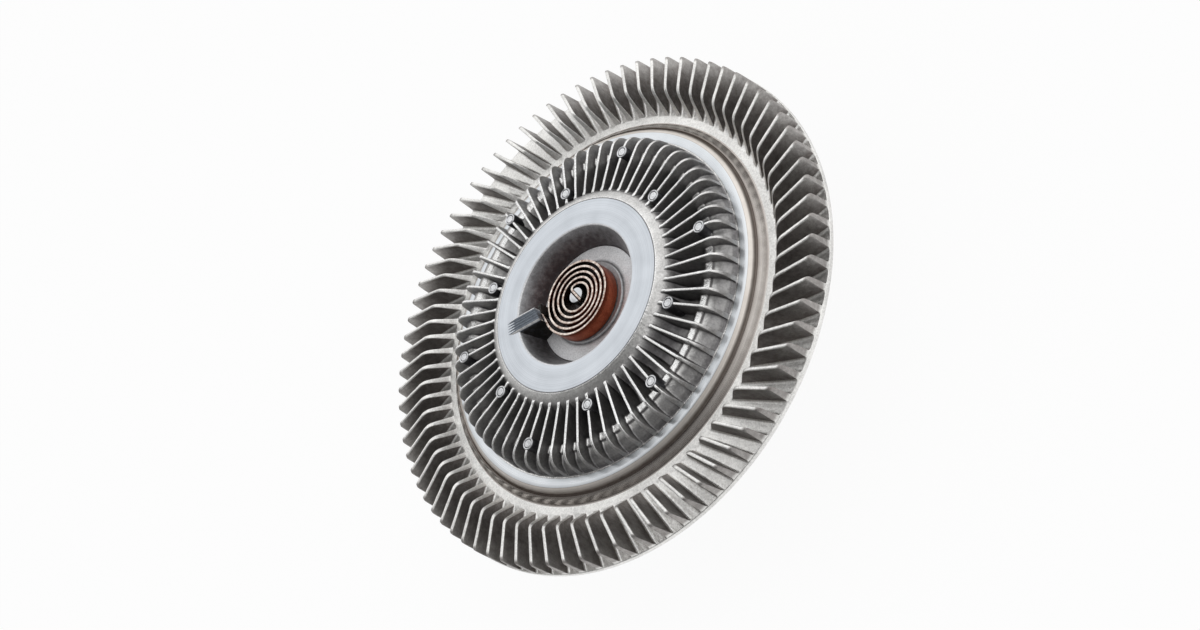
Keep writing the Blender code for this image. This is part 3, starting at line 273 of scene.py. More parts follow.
def bladed_ring(name, stations, count, tangent, first, section, materials, nick=0.0):
    """Blades cast round a ring, over stations of (radius, floor, crest, brightness of the gap)."""
    pitch = math.tau / count
    starts = first + pitch * np.arange(count)
    rows, shines = [], []
    for radius, floor, crest, gap_bright in stations:
        run = math.sqrt(radius ** 2 - tangent ** 2)
        half = section(radius, floor, crest, run * pitch / 2, gap_bright)
        half[-1, 0] = run * pitch / 2
        back = half[-2:0:-1]
        across = np.concatenate([half[:, 0] / run, pitch - back[:, 0] / run])
        height = np.tile(np.concatenate([half[:, 1], back[:, 1]]), (count, 1))
        shine = np.tile(np.concatenate([half[:, 2], back[:, 2]]), (count, 1))
        angles = (starts - math.asin(tangent / radius))[:, None] + across[None]
        if crest - floor > 2 and nick:
            angles = angles + chips.normal(0, nick / radius / 2.5, angles.shape) * (shine > NICKED_ABOVE)
            height = height - np.abs(chips.normal(0, nick, height.shape)) * (shine > NICKED_ABOVE)
        rows.append(np.stack([radius * np.cos(angles), radius * np.sin(angles),
                              LAND + height], axis=-1).reshape(-1, 3))
        shines.append(shine.ravel())
    return skin(name, np.array(rows), np.array(shines), materials)


def flange_floor(radius):
    return -FLOOR_FALL * (radius - LAND_RADIUS) / (RIM_RADIUS - LAND_RADIUS)


blade_crest = [(86.9, 0.5), (87.6, 1.6), (88.6, 3.1), (89.6, 4.6), (90.5, 5.95), (91.3, 7.15),
               (92.0, 8.1), (92.7, 8.9), (93.5, 9.5), (94.4, 9.85), (95.5, 10.0), (97.0, 10.0),
               (98.5, 10.0), (100.0, 10.0), (101.5, 10.0), (103.0, 10.0), (104.5, 10.0),
               (106.0, 10.0), (107.3, 10.0), (108.1, 9.93), (108.6, 9.7), (108.95, 9.2),
               (109.1, 8.3), (109.24, 6.8), (109.38, 4.9), (109.5, 2.9), (109.6, 1.0)]
stations = [(r, 0.0, 0.0, 0.94) for r in (LAND_RADIUS, 83.4, 84.6, 85.7, 86.4)]
stations += [(r, flange_floor(r), crest, 0.93) for r, crest in blade_crest]
stations += [(109.7, -0.9, -0.9, 0.7), (109.85, -1.0, -1.0, 0.9), (109.97, -1.2, -1.2, 1.0),
             (RIM_RADIUS, -1.5, -1.5, 0.9), (RIM_RADIUS, -2.6, -2.6, 0.8),
             (109.85, -3.0, -3.0, 0.8), (109.3, -3.7, -3.7, 0.6), (108.9, -3.9, -3.9, 0.55),
             (108.0, -3.9, -3.9, 0.55)]
flange = bladed_ring(
    "finned_flange", stations, BLADE_COUNT, BLADE_TANGENT, BLADE_FIRST,
    lambda r, floor, crest, reach, shine: blade_section(
        floor, crest, reach, shine, top_half=0.62, draft=0.06, height=BLADE_TOP,
        edge=0.3, fillet=0.8,
        # the tops fall to painted shade at the blades' outer ends; the sides' feet are painted shade
        top_bright=np.interp(r, (86.9, 89.0, 106.9, 107.6), (0.6, 0.95, 0.95, 0.15)),
        side_bright=(np.interp(r, (98.0, 107.0), (0.0, 0.24)),
                     np.interp(r, (98.0, 107.0), (0.06, 0.16)), 0.0)),
    [flange_metal], nick=0.035)
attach(flange, "housing")
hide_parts("housing")

# The body of the same casting, behind the flange: underside, pot wall, fan seat, pilot boss
# and bearing bore. The skin is as cast, but the seat, the pilot and the bore are turned.
turned_marks, taken, given = new_group("turning marks", [("Lines", 3500.0)], ["Tone", "Height"])
spot = node(turned_marks, "TexCoord").outputs["Object"]
flat = node(turned_marks, "VectorMath", {0: spot, 1: (1.0, 1.0, 0.0)}, operation="MULTIPLY")
out = node(turned_marks, "VectorMath", {0: flat.outputs[0]}, operation="LENGTH").outputs["Value"]
level = node(turned_marks, "SeparateXYZ", {0: spot}).outputs["Z"]
ring_place = node(turned_marks, "CombineXYZ", {"X": out, "Y": level}).outputs[0]
lines = node(turned_marks, "TexNoise", {"Vector": ring_place, "Scale": taken["Lines"],
                                        "Detail": 2.0}).outputs[0]
clouds = node(turned_marks, "TexNoise", {"Vector": spot, "Scale": 90.0, "Detail": 4.0}).outputs[0]
ringed = arithmetic(turned_marks, "MULTIPLY", spread(turned_marks, lines, 0.35, 0.65), 0.6)
clouded = arithmetic(turned_marks, "MULTIPLY", spread(turned_marks, clouds, 0.3, 0.7), 0.4)
turned_marks.links.new(arithmetic(turned_marks, "ADD", ringed, clouded), given["Tone"])
turned_marks.links.new(lines, given["Height"])


def turned_metal(name, dark, light, roughness, depth=0.00003, lines=3500.0, low_mark_colour=None):
    """Metal from the lathe: fine rings round the clutch's axis, mixed to a darker colour where the bright
    mark is low.
    """
    material, tree, shader = new_finish(name, 1.0, roughness)
    marks = effect(tree, turned_marks, {"Lines": lines})
    colour = mixed(tree, marks["Tone"], paint(*dark), paint(*light))
    if low_mark_colour:
        wear_and_light = effect(tree, wear_and_light_mark, {"Breakup": 0.2})["Rub"]
        colour = mixed(tree, wear_and_light, paint(*low_mark_colour), colour)
    feed(tree, shader, colour,
         spread(tree, marks["Tone"], 0.0, 1.0, roughness * 1.2, roughness * 0.85),
         marks["Height"], depth, 0.6)
    return material


def turned(name, outline, materials, slots=None, steps=240, centre=(0.0, 0.0), bright=0.6):
    """Turns (radius, height) points about an upright axis; heights are above the flange's land."""
    angles = np.arange(steps) * math.tau / steps
    ring = np.stack([np.cos(angles), np.sin(angles)], axis=-1)
    rows = [np.concatenate([ring * r + centre, np.full((steps, 1), LAND + z)], axis=1)
            for r, z in outline]
    return skin(name, np.array(rows), bright, materials, slots)


body_metal = cast_aluminium("rear casting", (150, 152, 155), (206, 206, 204), (238, 238, 236))
body_turned = turned_metal("turned seat", (168, 170, 173), (216, 217, 219), 0.32)
body_outline = [
    (108.0, -3.9, 0), (98.0, -3.9, 0), (88.0, -3.9, 0), (85.6, -3.95, 0), (84.6, -4.3, 0),
    (84.0, -5.1, 0), (83.2, -7.3, 0), (81.6, -11.6, 0), (81.0, -13.0, 0), (80.4, -13.7, 0),
    (79.4, -14.0, 0), (69.0, -14.0, 0), (58.6, -14.0, 0), (57.5, -14.3, 0), (56.9, -15.0, 0),
    (56.2, -19.4, 0), (55.8, -19.85, 1), (55.3, -20.0, 1), (46.0, -20.0, 1), (33.0, -20.0, 1),
    (32.4, -20.3, 1), (32.0, -20.9, 1), (32.0, -27.0, 1), (32.0, -34.6, 1), (31.4, -35.5, 1),
    (31.0, -35.9, 1), (24.3, -35.9, 1), (23.8, -35.6, 1), (23.5, -35.1, 1), (23.5, -34.0, 1),
    (24.7, -34.0, 1), (24.7, -32.3, 1), (23.5, -32.3, 1), (23.5, -18.0, 1), (19.5, -18.0, 1),
    (19.5, -10.0, 1), (50.0, -10.0, 0), (74.0, -10.0, 0), (74.0, -3.3, 1), (75.6, -3.3, 1),
    (75.6, -4.7, 1), (78.0, -4.7, 1), (78.0, -3.3, 1), (79.8, -3.3, 1), (79.8, 0.5, 1),
]
body = turned("housing_body", [(r, z) for r, z, _ in body_outline], [body_metal, body_turned],
              [slot for _, _, slot in body_outline][:-1])
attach(body, "housing")
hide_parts("housing")

# Short radial ribs stiffen and cool the rear wall of the pot, cast in one with it. Their
# tops are rounded by the die, and they run out into the fan seat.
REAR_RIBS = 24
RIB_TOP = -19.0
RIB_FOOT = -13.9


def rib_row(run, top, half_top, half_foot, foot):
    """One cross-section of a rib, over its rounded top from foot to foot."""
    return [(run, -half_foot - 0.5, foot), (run, -half_foot, foot - 0.5),
            (run, -half_top - 0.15, top + 0.5), (run, -half_top * 0.7, top + 0.1), (run, 0.0, top),
            (run, half_top * 0.7, top + 0.1), (run, half_top + 0.15, top + 0.5),
            (run, half_foot, foot - 0.5), (run, half_foot + 0.5, foot)]


def place_rows(rows, angle):
    """Turns rows of (run, across, height) about the clutch's axis."""
    rows = np.array(rows, float)
    x = rows[..., 0] * math.cos(angle) - rows[..., 1] * math.sin(angle)
    y = rows[..., 0] * math.sin(angle) + rows[..., 1] * math.cos(angle)
    return np.stack([x, y, rows[..., 2] + LAND], axis=-1)


def sheet_mesh(name, patches, materials, bright=0.6):
    """Open grids of points joined into one mesh; a patch is (points, slot, closed ends)."""
    corners, faces, slots = [], [], []
    for points, slot, capped in patches:
        rows, columns = points.shape[:2]
        first = len(corners)
        corners += points.reshape(-1, 3).tolist()
        for r in range(rows - 1):
            for c in range(columns - 1):
                a = first + r * columns + c
                faces.append((a, a + columns, a + columns + 1, a + 1))
                slots.append(slot)
        if capped:
            faces.append(tuple(first + c for c in range(columns)))
            faces.append(tuple(first + (rows - 1) * columns + c for c in reversed(range(columns))))
            slots += [slot, slot]
    mesh = bpy.data.meshes.new(name)
    mesh.from_pydata((np.array(corners) * MM).tolist(), [], faces)
    mesh.polygons.foreach_set("material_index", slots)
    mesh.attributes.new("bright", "FLOAT", "POINT").data.foreach_set(
        "value", np.broadcast_to(bright, len(corners)).astype(np.float32))
    for material in materials:
        mesh.materials.append(material)
    form = bmesh.new()
    form.from_mesh(mesh)
    bmesh.ops.recalc_face_normals(form, faces=form.faces)
    form.to_mesh(mesh)
    form.free()
    return finished(name, mesh)


rib = [rib_row(run, RIB_TOP + fall, half_top=0.9, half_foot=1.4, foot=RIB_FOOT) for run, fall in
       [(55.0, 0.0), (62.0, 0.0), (70.0, 0.0), (74.6, 0.0), (75.6, 0.3), (76.4, 1.2), (77.4, 3.0),
        (78.2, 4.4)]]
ribs = sheet_mesh("rear_ribs", [(place_rows(rib, (i + 0.5) * math.tau / REAR_RIBS), 0, True)
                                for i in range(REAR_RIBS)], [body_metal])
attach(ribs, "housing")
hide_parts("housing")

# The lip of the housing is rolled over the cover's edge all round and clamps it. Rolling
# burnishes the aluminium to a brownish grey with fine tool lines.
lip_metal = turned_metal("rolled lip", (172, 166, 161), (208, 203, 198), 0.26, 0.00002, 5200.0,
                         (112, 103, 97))
# third column: low on the inner side, by the gap to the cover, where the lip turns darker brown
lip_outline = [(79.75, 0.5, 0.0), (79.36, 1.9, 0.0), (79.3, 2.3, 0.0), (79.45, 2.52, 0.0),
               (79.75, 2.66, 0.15), (80.1, 2.56, 0.4), (80.5, 2.22, 0.7), (81.0, 1.7, 0.9),
               (81.5, 1.13, 0.8), (82.0, 0.56, 0.6), (82.3, 0.22, 0.4), (82.6, 0.04, 0.8),
               (83.1, 0.0, 1.0)]
lip = turned("rolled_lip", [(r, z) for r, z, _ in lip_outline], [lip_metal], steps=300,
             bright=np.array([shine for _, _, shine in lip_outline])[:, None])
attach(lip, "housing")
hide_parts("housing")

# The front cover is a second aluminium die casting. Between its hub and its flat edge stand
# radial blades, which round down to the edge. The bright mark paints highlights on the steps
# between them, and shade in the valleys, at the blades' outer ends and down their sides.
COVER_BLADES = 60
COVER_BLADE_TOP = 16.0
cover_metal = cast_aluminium("cover casting", (130, 128, 129), (234, 233, 231), (252, 252, 251),
                             dull=0.44, bright=0.16)
# fourth column: painted highlight on the step from 61.6 to 64.4, painted shade in the valley and by the
# blade ends
cover_floor = [(44.3, 16.5, 16.5, 0.5), (44.9, 16.15, 16.15, 0.48), (45.2, 15.93, 15.97, 0.46),
               (45.35, 15.81, 16.12, 0.44), (45.7, 15.5, 16.25, 0.4), (46.2, 15.0, 16.25, 0.24),
               (46.8, 14.1, 16.12, 0.16), (47.4, 13.0, 16.0, 0.1), (48.1, 11.5, 16.0, 0.05),
               (49.0, 9.9, 16.0, 0.0), (50.2, 8.5, 16.0, 0.0), (51.8, 7.5, 16.0, 0.0),
               (53.8, 6.95, 16.0, 0.1), (56.0, 6.8, 16.0, 0.2),
               (57.6, 6.85, 16.0, 0.2), (58.4, 7.2, 16.0, 0.3), (59.4, 8.4, 16.0, 0.5),
               (60.4, 9.7, 16.0, 0.5), (61.1, 10.7, 16.0, 0.6), (61.6, 11.1, 16.0, 0.8),
               (62.2, 11.2, 16.0, 1.0), (63.4, 11.2, 16.0, 1.0), (64.4, 11.2, 16.0, 1.0),
               (64.65, 11.05, 16.0, 0.6), (64.8, 10.45, 16.0, 0.0), (65.1, 10.25, 16.0, 0.1),
               (65.6, 10.15, 16.0, 0.6), (66.4, 9.95, 15.88, 0.5), (67.4, 9.65, 15.65, 0.3),
               (68.3, 9.35, 15.25, 0.2), (69.2, 8.6, 14.68, 0.2), (70.0, 7.75, 13.9, 0.2),
               (70.6, 7.05, 13.1, 0.2), (71.0, 6.4, 12.3, 0.1), (71.35, 5.7, 11.3, 0.1),
               (71.6, 5.2, 10.2, 0.0), (71.8, 4.98, 8.9, 0.0), (72.0, 4.88, 7.4, 0.0),
               (72.2, 4.82, 5.9, 0.1), (72.35, 4.8, 4.95, 0.4), (72.5, 4.8, 4.8, 0.8),
               (73.0, 4.8, 4.8, 0.9)]
cover_blades = bladed_ring(
    "cover_blades", cover_floor, COVER_BLADES, 0.0, 0.0,
    lambda r, floor, crest, reach, shine: blade_section(
        floor, crest, reach, shine, top_half=np.interp(r, (46.5, 47.3), (0.6, 0.48)), draft=0.048,
        height=COVER_BLADE_TOP, edge=0.24, fillet=0.7,
        # the tops fade to painted shade at the outer ends, and the sides darken towards the foot
        top_bright=np.interp(r, (66.0, 69.0, 71.0), (1.0, 0.7, 0.3)),
        side_bright=(0.34, 0.2, 0.02)),
    [cover_metal], nick=0.03)
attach(cover_blades, "housing")
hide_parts("cover")

# The edge of the cover is turned flat, and its shoulder falls in a curve to where the rolled
# lip holds it. Towards the gap between the two the bevel turns darker brown. The same turning
# has the cover's inside.
# the darker brown that the bevel takes towards the gap to the lip
GAP_BROWN = (112, 103, 97)
band_metal = turned_metal("turned cover edge", (200, 205, 209), (230, 233, 236), 0.3, 0.00001,
                          7000.0)
bevel_metal = turned_metal("turned bevel", (202, 195, 188), (236, 230, 223), 0.42, 0.00002, 4600.0,
                           GAP_BROWN)
edge_outline = [(72.9, 4.8, 0), (75.0, 4.8, 0), (76.5, 4.8, 0), (76.7, 4.7, 1), (77.1, 4.6, 1),
                (77.7, 4.36, 1), (78.1, 4.1, 1), (78.4, 3.8, 1), (78.65, 3.35, 1), (78.85, 2.85, 1),
                (79.1, 2.5, 1), (79.4, 2.36, 1), (79.5, 0.2, 1), (79.5, -3.0, 1), (76.0, -3.0, 1),
                (67.0, -3.0, 1), (67.0, -0.5, 1), (62.0, -0.5, 1), (62.0, -3.0, 1), (50.3, -3.0, 1),
                (50.3, 0.5, 1), (43.0, 0.5, 1), (43.0, 4.4, 1), (3.6, 4.4, 1)]
edge_shine = np.interp([r for r, _, _ in edge_outline], (76.6, 76.7, 77.0, 78.1, 78.5, 78.8),
                       (1.0, 0.7, 1.0, 0.9, 0.45, 0.0))[:, None]
edge = turned("cover_edge", [(r, z) for r, z, _ in edge_outline], [band_metal, bevel_metal],
              [slot for _, _, slot in edge_outline][:-1], bright=edge_shine)
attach(edge, "housing")
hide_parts("cover")

# The hub of the cover: a ring faced on the lathe, and inside it the cast recess that the
# coil stands in, with a low boss round the valve shaft. The recess wall is painted dark as
# shade, and the boss under the coil is painted darker as the coil's shadow.
face_metal = turned_metal("faced ring", (188, 193, 199), (214, 219, 225), 0.34, 0.000004, 9000.0)
# its dark shaded colour is the painted shade of the recess wall
recess_metal = cast_aluminium("recess casting", (84, 80, 82), (222, 224, 226), (246, 247, 249),
                              1500.0, 0.34, 0.5, 0.5)
# fourth column: the wall and the boss are marked low, painted shade and the coil's painted shadow
hub_outline = [(5.3, 6.0, 1, 0.0), (5.3, 8.0, 1, 0.6), (5.5, 8.2, 1, 0.2), (17.0, 8.2, 1, 0.2),
               (17.4, 8.15, 1, 0.5), (17.7, 7.9, 1, 0.4), (18.0, 7.5, 1, 0.1), (18.5, 7.4, 1, 0.3),
               (19.3, 7.4, 1, 0.9), (24.6, 7.4, 1, 1.0), (24.85, 7.36, 1, 1.0),
               (24.95, 7.1, 1, 0.0), (25.1, 7.1, 1, 0.0), (25.25, 7.6, 1, 0.0), (25.8, 9.0, 1, 0.0),
               (27.0, 11.7, 1, 0.05), (28.2, 14.3, 1, 0.1), (29.3, 16.3, 1, 0.2),
               (29.85, 17.15, 1, 0.3), (29.95, 17.3, 1, 1.0), (30.05, 17.42, 1, 1.0),
               (30.25, 17.55, 1, 1.0), (30.5, 17.6, 0, 1.0), (35.0, 17.6, 0, 1.0),
               (41.2, 17.6, 0, 1.0), (41.45, 17.58, 0, 0.6),
               (41.5, 17.42, 2, 0.0), (41.75, 17.42, 2, 0.0), (41.85, 17.52, 2, 0.9),
               (42.15, 17.46, 2, 1.0), (42.4, 17.34, 2, 0.65), (43.2, 17.02, 2, 0.55),
               (43.9, 16.7, 2, 0.52), (44.5, 16.35, 2, 0.5)]
hub = turned("cover_hub", [(r, z) for r, z, _, _ in hub_outline],
             [face_metal, recess_metal, cover_metal], [slot for _, _, slot, _ in hub_outline][:-1],
             bright=np.array([shine for _, _, _, shine in hub_outline])[:, None])
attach(hub, "housing")
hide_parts("cover")

# Ejector pads: where the die's pins push the cover out, round studs stand among the blades.
# The pins leave their ends bright and slightly crumpled. The groove round each end and the
# pads' sides are painted dark, as shade.
PADS_PER_CIRCLE = 6
PAD_RIM = 16.05             # above this the end is crumpled
pad_metal = cast_aluminium("pad ends", (84, 84, 87), (206, 208, 211), (246, 247, 249), 700.0)
pad_outline = [(0.0, 16.3), (0.8, 16.24), (1.4, 16.3), (1.55, 16.26), (1.7, 16.0), (1.85, 16.0),
               (2.0, 16.28), (2.3, 16.38), (2.5, 16.26), (2.62, 15.9), (2.68, 12.0), (2.8, 6.6)]
# the groove and the sides are marked 0: painted shade
pad_shine = np.array([1, 0.85, 1, 1, 0.0, 0.0, 1, 1, 0.6, 0.0, 0.0, 0.0])[:, None]
for circle, half_step, label in ((50.4, 0.0, "inner"), (62.6, 0.5, "outer")):
    for i in range(PADS_PER_CIRCLE):
        angle = (i + half_step) * math.tau / PADS_PER_CIRCLE
        pad = turned(f"{label}_pad_{i + 1}", pad_outline, [pad_metal], steps=32, bright=pad_shine,
                     centre=(circle * math.cos(angle), circle * math.sin(angle)))
        for corner in pad.data.vertices:
            if corner.co.z > (LAND + PAD_RIM) * MM:
                corner.co.z -= abs(chips.normal(0, 0.06)) * MM
        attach(pad, "housing")
        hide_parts("cover")

# The anchor post is a bar cast with the cover, from the faced ring to the coil. Its top is
# ridged between two edges painted bright as highlights, its foot spreads into the recess, and a
# slot across its inner end grips the coil's tail. Its sides, its foot and the nib inside the
# slot are painted dark as shade.
POST_ANGLE = math.radians(210)
POST_INNER, POST_OUTER = 17.2, 36.8     # its ends, from the clutch's axis
POST_HALF = 3.75
POST_FOOT = 7.0
POST_STEPS = 15
POST_RIDGED = 2.8           # half the width of the ridged band
POST_RIDGES = 4.5
POST_SLOT_HALF = 0.8
NIB_TOP = 17.8              # the inner side of the slot stands on a part of the width
NIB_SIDES = (-3.7, 0.9)
# its near-black shaded colour is the painted shade on the sides
post_metal = cast_aluminium("post casting", (66, 64, 62), (178, 187, 199), (255, 255, 255), 800.0)
COIL_OUTER = 16.7
coil_shift = np.array([-0.9, -0.2])     # the outer turns lean towards the post
coil_leaves = math.radians(230.5)       # where the strip leaves its outer turn for the post
coil_start = coil_shift + COIL_OUTER * np.array([math.cos(coil_leaves), math.sin(coil_leaves)])
tail_way = np.array([math.sin(coil_leaves), -math.cos(coil_leaves)])
post_side = np.array([-math.sin(POST_ANGLE), math.cos(POST_ANGLE)])
tail_run = -coil_start.dot(post_side) / tail_way.dot(post_side)
slot_middle = np.linalg.norm(coil_start + tail_way * tail_run)
slot_lean = math.atan2(tail_way[1], tail_way[0]) - POST_ANGLE


def slot_side(across, side):
    """Where a wall of the slot crosses a line along the post."""
    return (slot_middle + across / math.tan(slot_lean)
            + side * POST_SLOT_HALF / abs(math.sin(slot_lean)))


def post_block(sides, start, end):
    """Lines along the post, side by side; each is (across, spread of the foot, height, shine)."""
    rows, shines = [], []
    for across, spreading, level, shine in sides:
        runs = np.linspace(start(across), end(across), POST_STEPS)
        spread_here = 0.5 + 0.5 * np.maximum(runs - 20.0, -0.8)
        wide = across + math.copysign(spreading, across) * spread_here
        heights = level - (level > 16.5) * np.interp(runs, (31.0, POST_OUTER), (0.0, 0.7))
        line = np.stack([runs, wide, heights], axis=-1)
        rows.append(np.vstack([[(runs[0], wide[0], POST_FOOT)], line,
                               [(runs[-1], wide[-1], POST_FOOT)]]))
        shines.append([0.0] + [shine] * POST_STEPS + [0.0])
    return place_rows(rows, POST_ANGLE), np.ravel(shines)


# the sides are marked 0, painted shade; the edges of the top are marked above 1, painted highlights
slopes = [(POST_HALF, 1.0, 7.1, 0.0), (POST_HALF, 0.66, 10.0, 0.0), (POST_HALF, 0.33, 13.0, 0.0),
          (POST_HALF, 0.1, 16.4, 0.0), (3.74, 0.0, 17.3, 0.1), (3.68, 0.0, 17.62, 0.8),
          (3.5, 0.0, 17.84, 1.3), (3.2, 0.0, 17.98, 1.3), (2.9, 0.0, 18.1, 1.3)]
ridged = [(v, 0.0, 17.95 + 0.25 * math.cos(math.tau * POST_RIDGES * v / (2 * POST_RIDGED)), 0.66)
          for v in np.linspace(-POST_RIDGED, POST_RIDGED, 37)]
across_post = [(-a, f, z, b) for a, f, z, b in slopes] + ridged + slopes[::-1]
outer_part, outer_shine = post_block(across_post, lambda v: slot_side(v, 1), lambda v: POST_OUTER)
# the nib is marked 0 all over, painted dark as shade
across_nib = [(a, 0.0, min(z, NIB_TOP), 0.0) for a, _, z, _ in across_post
              if NIB_SIDES[0] <= a <= NIB_SIDES[1]]
nib, nib_shine = post_block(across_nib, lambda v: POST_INNER, lambda v: slot_side(v, -1))
post = sheet_mesh("anchor_post", [(outer_part, 0, True), (nib, 0, True)], [post_metal],
                  np.concatenate([outer_shine, nib_shine]))
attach(post, "housing")
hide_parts("cover")

# The bimetal coil: one strip of two bonded metals, wound up on edge, with the red one outside
# and the steel one inside. Its slit edges are paler. It is held in the post and turns the shaft.
COIL_TURNS = 4.74
COIL_HALF = 0.5
COIL_LOW, COIL_HIGH = 8.5, 15.6
COIL_CORNER = 0.2
COIL_CREASE = math.radians(30)
TAIL_POINTS = 14
TURN_STEPS = 290
BEND_RADIUS = 1.3           # from the inner turn into the shaft's slot
BEND_REACH = 5.2


def strip_metal(name, dark, light, roughness, metallic=1.0, grain_scale=2600.0):
    material, tree, shader = new_finish(name, metallic, roughness)
    cast = effect(tree, cast_skin, {"Grain": grain_scale, "Clouds": 300.0})
    feed(tree, shader, mixed(tree, cast["Tone"], paint(*dark), paint(*light)),
         spread(tree, cast["Tone"], 0.0, 1.0, roughness * 1.15, roughness * 0.85), cast["Height"],
         0.00003, 0.35)
    return material


strip_face = strip_metal("bimetal red side", (158, 70, 48), (206, 116, 84), 0.34)
strip_back = strip_metal("bimetal steel side", (92, 84, 80), (150, 142, 136), 0.22)
# the slit edges are pale; the noise spreads them from dark brown to near white as painted glints
strip_edge = strip_metal("bimetal edge", (128, 94, 78), (255, 246, 236), 0.26, 1.0, 900.0)
line = [coil_start + tail_way * d for d in np.linspace(tail_run + 2.0, 0.6, TAIL_POINTS)]
end_radius = math.hypot(BEND_REACH, BEND_RADIUS)
for i in range(TURN_STEPS + 1):
    share = i / TURN_STEPS
    angle = coil_leaves + COIL_TURNS * math.tau * share
    radius = COIL_OUTER + (end_radius - COIL_OUTER) * share
    line.append(coil_shift * (1 - share) + radius * np.array([math.cos(angle), math.sin(angle)]))
slot_angle = coil_leaves + COIL_TURNS * math.tau + math.atan2(BEND_RADIUS, BEND_REACH)
outward = np.array([math.cos(slot_angle), math.sin(slot_angle)])
clockwise = np.array([outward[1], -outward[0]])
bend_centre = outward * (BEND_REACH - BEND_RADIUS) + clockwise * BEND_RADIUS
for i in range(1, 7):
    angle = i * math.pi / 12
    line.append(bend_centre + outward * BEND_RADIUS * math.cos(angle)
                - clockwise * BEND_RADIUS * math.sin(angle))
line += [outward * d for d in (2.0, 0.0, -2.0, -3.0)]
line = np.array(line)
heading = np.gradient(line, axis=0)
heading /= np.linalg.norm(heading, axis=1)[:, None]
sideways = np.stack([-heading[:, 1], heading[:, 0]], axis=-1)
cut_in = 0.3 * COIL_CORNER
section = [(-COIL_HALF, COIL_LOW + COIL_CORNER), (-COIL_HALF, 10.8), (-COIL_HALF, 13.2),
           (-COIL_HALF, COIL_HIGH - COIL_CORNER), (-COIL_HALF + cut_in, COIL_HIGH - cut_in),
           (-COIL_HALF + COIL_CORNER, COIL_HIGH), (COIL_HALF - COIL_CORNER, COIL_HIGH),
           (COIL_HALF - cut_in, COIL_HIGH - cut_in), (COIL_HALF, COIL_HIGH - COIL_CORNER),
           (COIL_HALF, 13.2), (COIL_HALF, 10.8), (COIL_HALF, COIL_LOW + COIL_CORNER),
           (COIL_HALF - COIL_CORNER, COIL_LOW), (-COIL_HALF + COIL_CORNER, COIL_LOW)]
strip = np.array([[(*(p + s * across), LAND + height) for across, height in section]
                  for p, s in zip(line, sideways)])
mesh = bpy.data.meshes.new("wound_bimetal_strip")
columns = len(section)
faces, slots = [], []
edge_columns = {4, 5, 6, 11, 12, 13}
for r in range(len(strip) - 1):
    here, there = r * columns, (r + 1) * columns
    for c in range(columns):
        n = (c + 1) % columns
        faces.append((here + c, here + n, there + n, there + c))
        slots.append(1 if c in edge_columns else 0 if c < 7 else 2)
faces += [tuple(range(columns)), tuple((len(strip) - 1) * columns + c for c in range(columns))]
slots += [1, 1]
mesh.from_pydata((strip.reshape(-1, 3) * MM).tolist(), [], faces)
mesh.polygons.foreach_set("material_index", slots)
for material in (strip_face, strip_edge, strip_back):
    mesh.materials.append(material)
form = bmesh.new()
form.from_mesh(mesh)
bmesh.ops.recalc_face_normals(form, faces=form.faces)
form.to_mesh(mesh)
form.free()
mesh.shade_smooth()
mesh.set_sharp_from_angle(angle=COIL_CREASE)
coil = bpy.data.objects.new("wound_bimetal_strip", mesh)
bpy.context.scene.collection.objects.link(coil)
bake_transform(coil, "housing", "valve", start=(-0.017, -0.008, 0.07), end=(0.0, 0.0, 0.07))
# the twist spreads evenly along the turns, from nothing at the tail
lengths = np.concatenate([[0], np.cumsum(np.linalg.norm(np.diff(line, axis=0), axis=1))])
held = lengths[TAIL_POINTS]
loose = np.clip((lengths - held) / (lengths[TAIL_POINTS + TURN_STEPS] - held), 0, 1)
mesh.attributes["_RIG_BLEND"].data.foreach_set("value", np.repeat(loose, columns).astype(np.float32))
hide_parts("bimetal_coil")

# The valve shaft is a small steel pin, slotted across its end for the coil's inner tail and
# stepped at its foot for the valve arm.
PIN_RADIUS = 3.3
SLOT_FLOOR = 8.0
pin_steel = turned_metal("bright pin steel", (176, 178, 182), (226, 228, 230), 0.22, 0.00002,
                         5000.0)
pin_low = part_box("valve_shaft")[0].z / MM - LAND
pin_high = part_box("valve_shaft")[1].z / MM - LAND
cut = math.asin(POST_SLOT_HALF / PIN_RADIUS)
halves = []
for side in (0.0, math.pi):
    arc = np.linspace(cut, math.pi - cut, 26) + slot_angle + side
    rim = np.stack([np.cos(arc), np.sin(arc)], axis=-1) * PIN_RADIUS
    middle = rim.mean(axis=0)
    rows = [np.concatenate([rim if z < pin_high - 0.1 else middle + (rim - middle) * shrink,
                            np.full((len(rim), 1), LAND + z)], axis=1)
            for z, shrink in ((SLOT_FLOOR, 1), (12.0, 1), (pin_high - 0.3, 1),
                              (pin_high - 0.08, 0.96), (pin_high, 0.88))]
    halves.append((np.array([np.vstack([row, row[:1]]) for row in rows]), 0, True))
angles = np.linspace(0, math.tau, 65)
stem = []
for r, z in ((0.4, 8.1), (PIN_RADIUS, 8.1), (PIN_RADIUS, 2.7), (2.5, 2.7), (2.5, 1.5),
             (PIN_RADIUS, 1.5), (PIN_RADIUS, 1.2), (2.4, 1.1), (2.4, pin_low), (0.4, pin_low)):
    stem.append([(r * math.cos(a), r * math.sin(a), LAND + z) for a in angles])
pin = sheet_mesh("slotted_valve_pin", halves + [(np.array(stem), 0, False)], [pin_steel])
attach(pin, "valve")
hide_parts("valve_shaft")

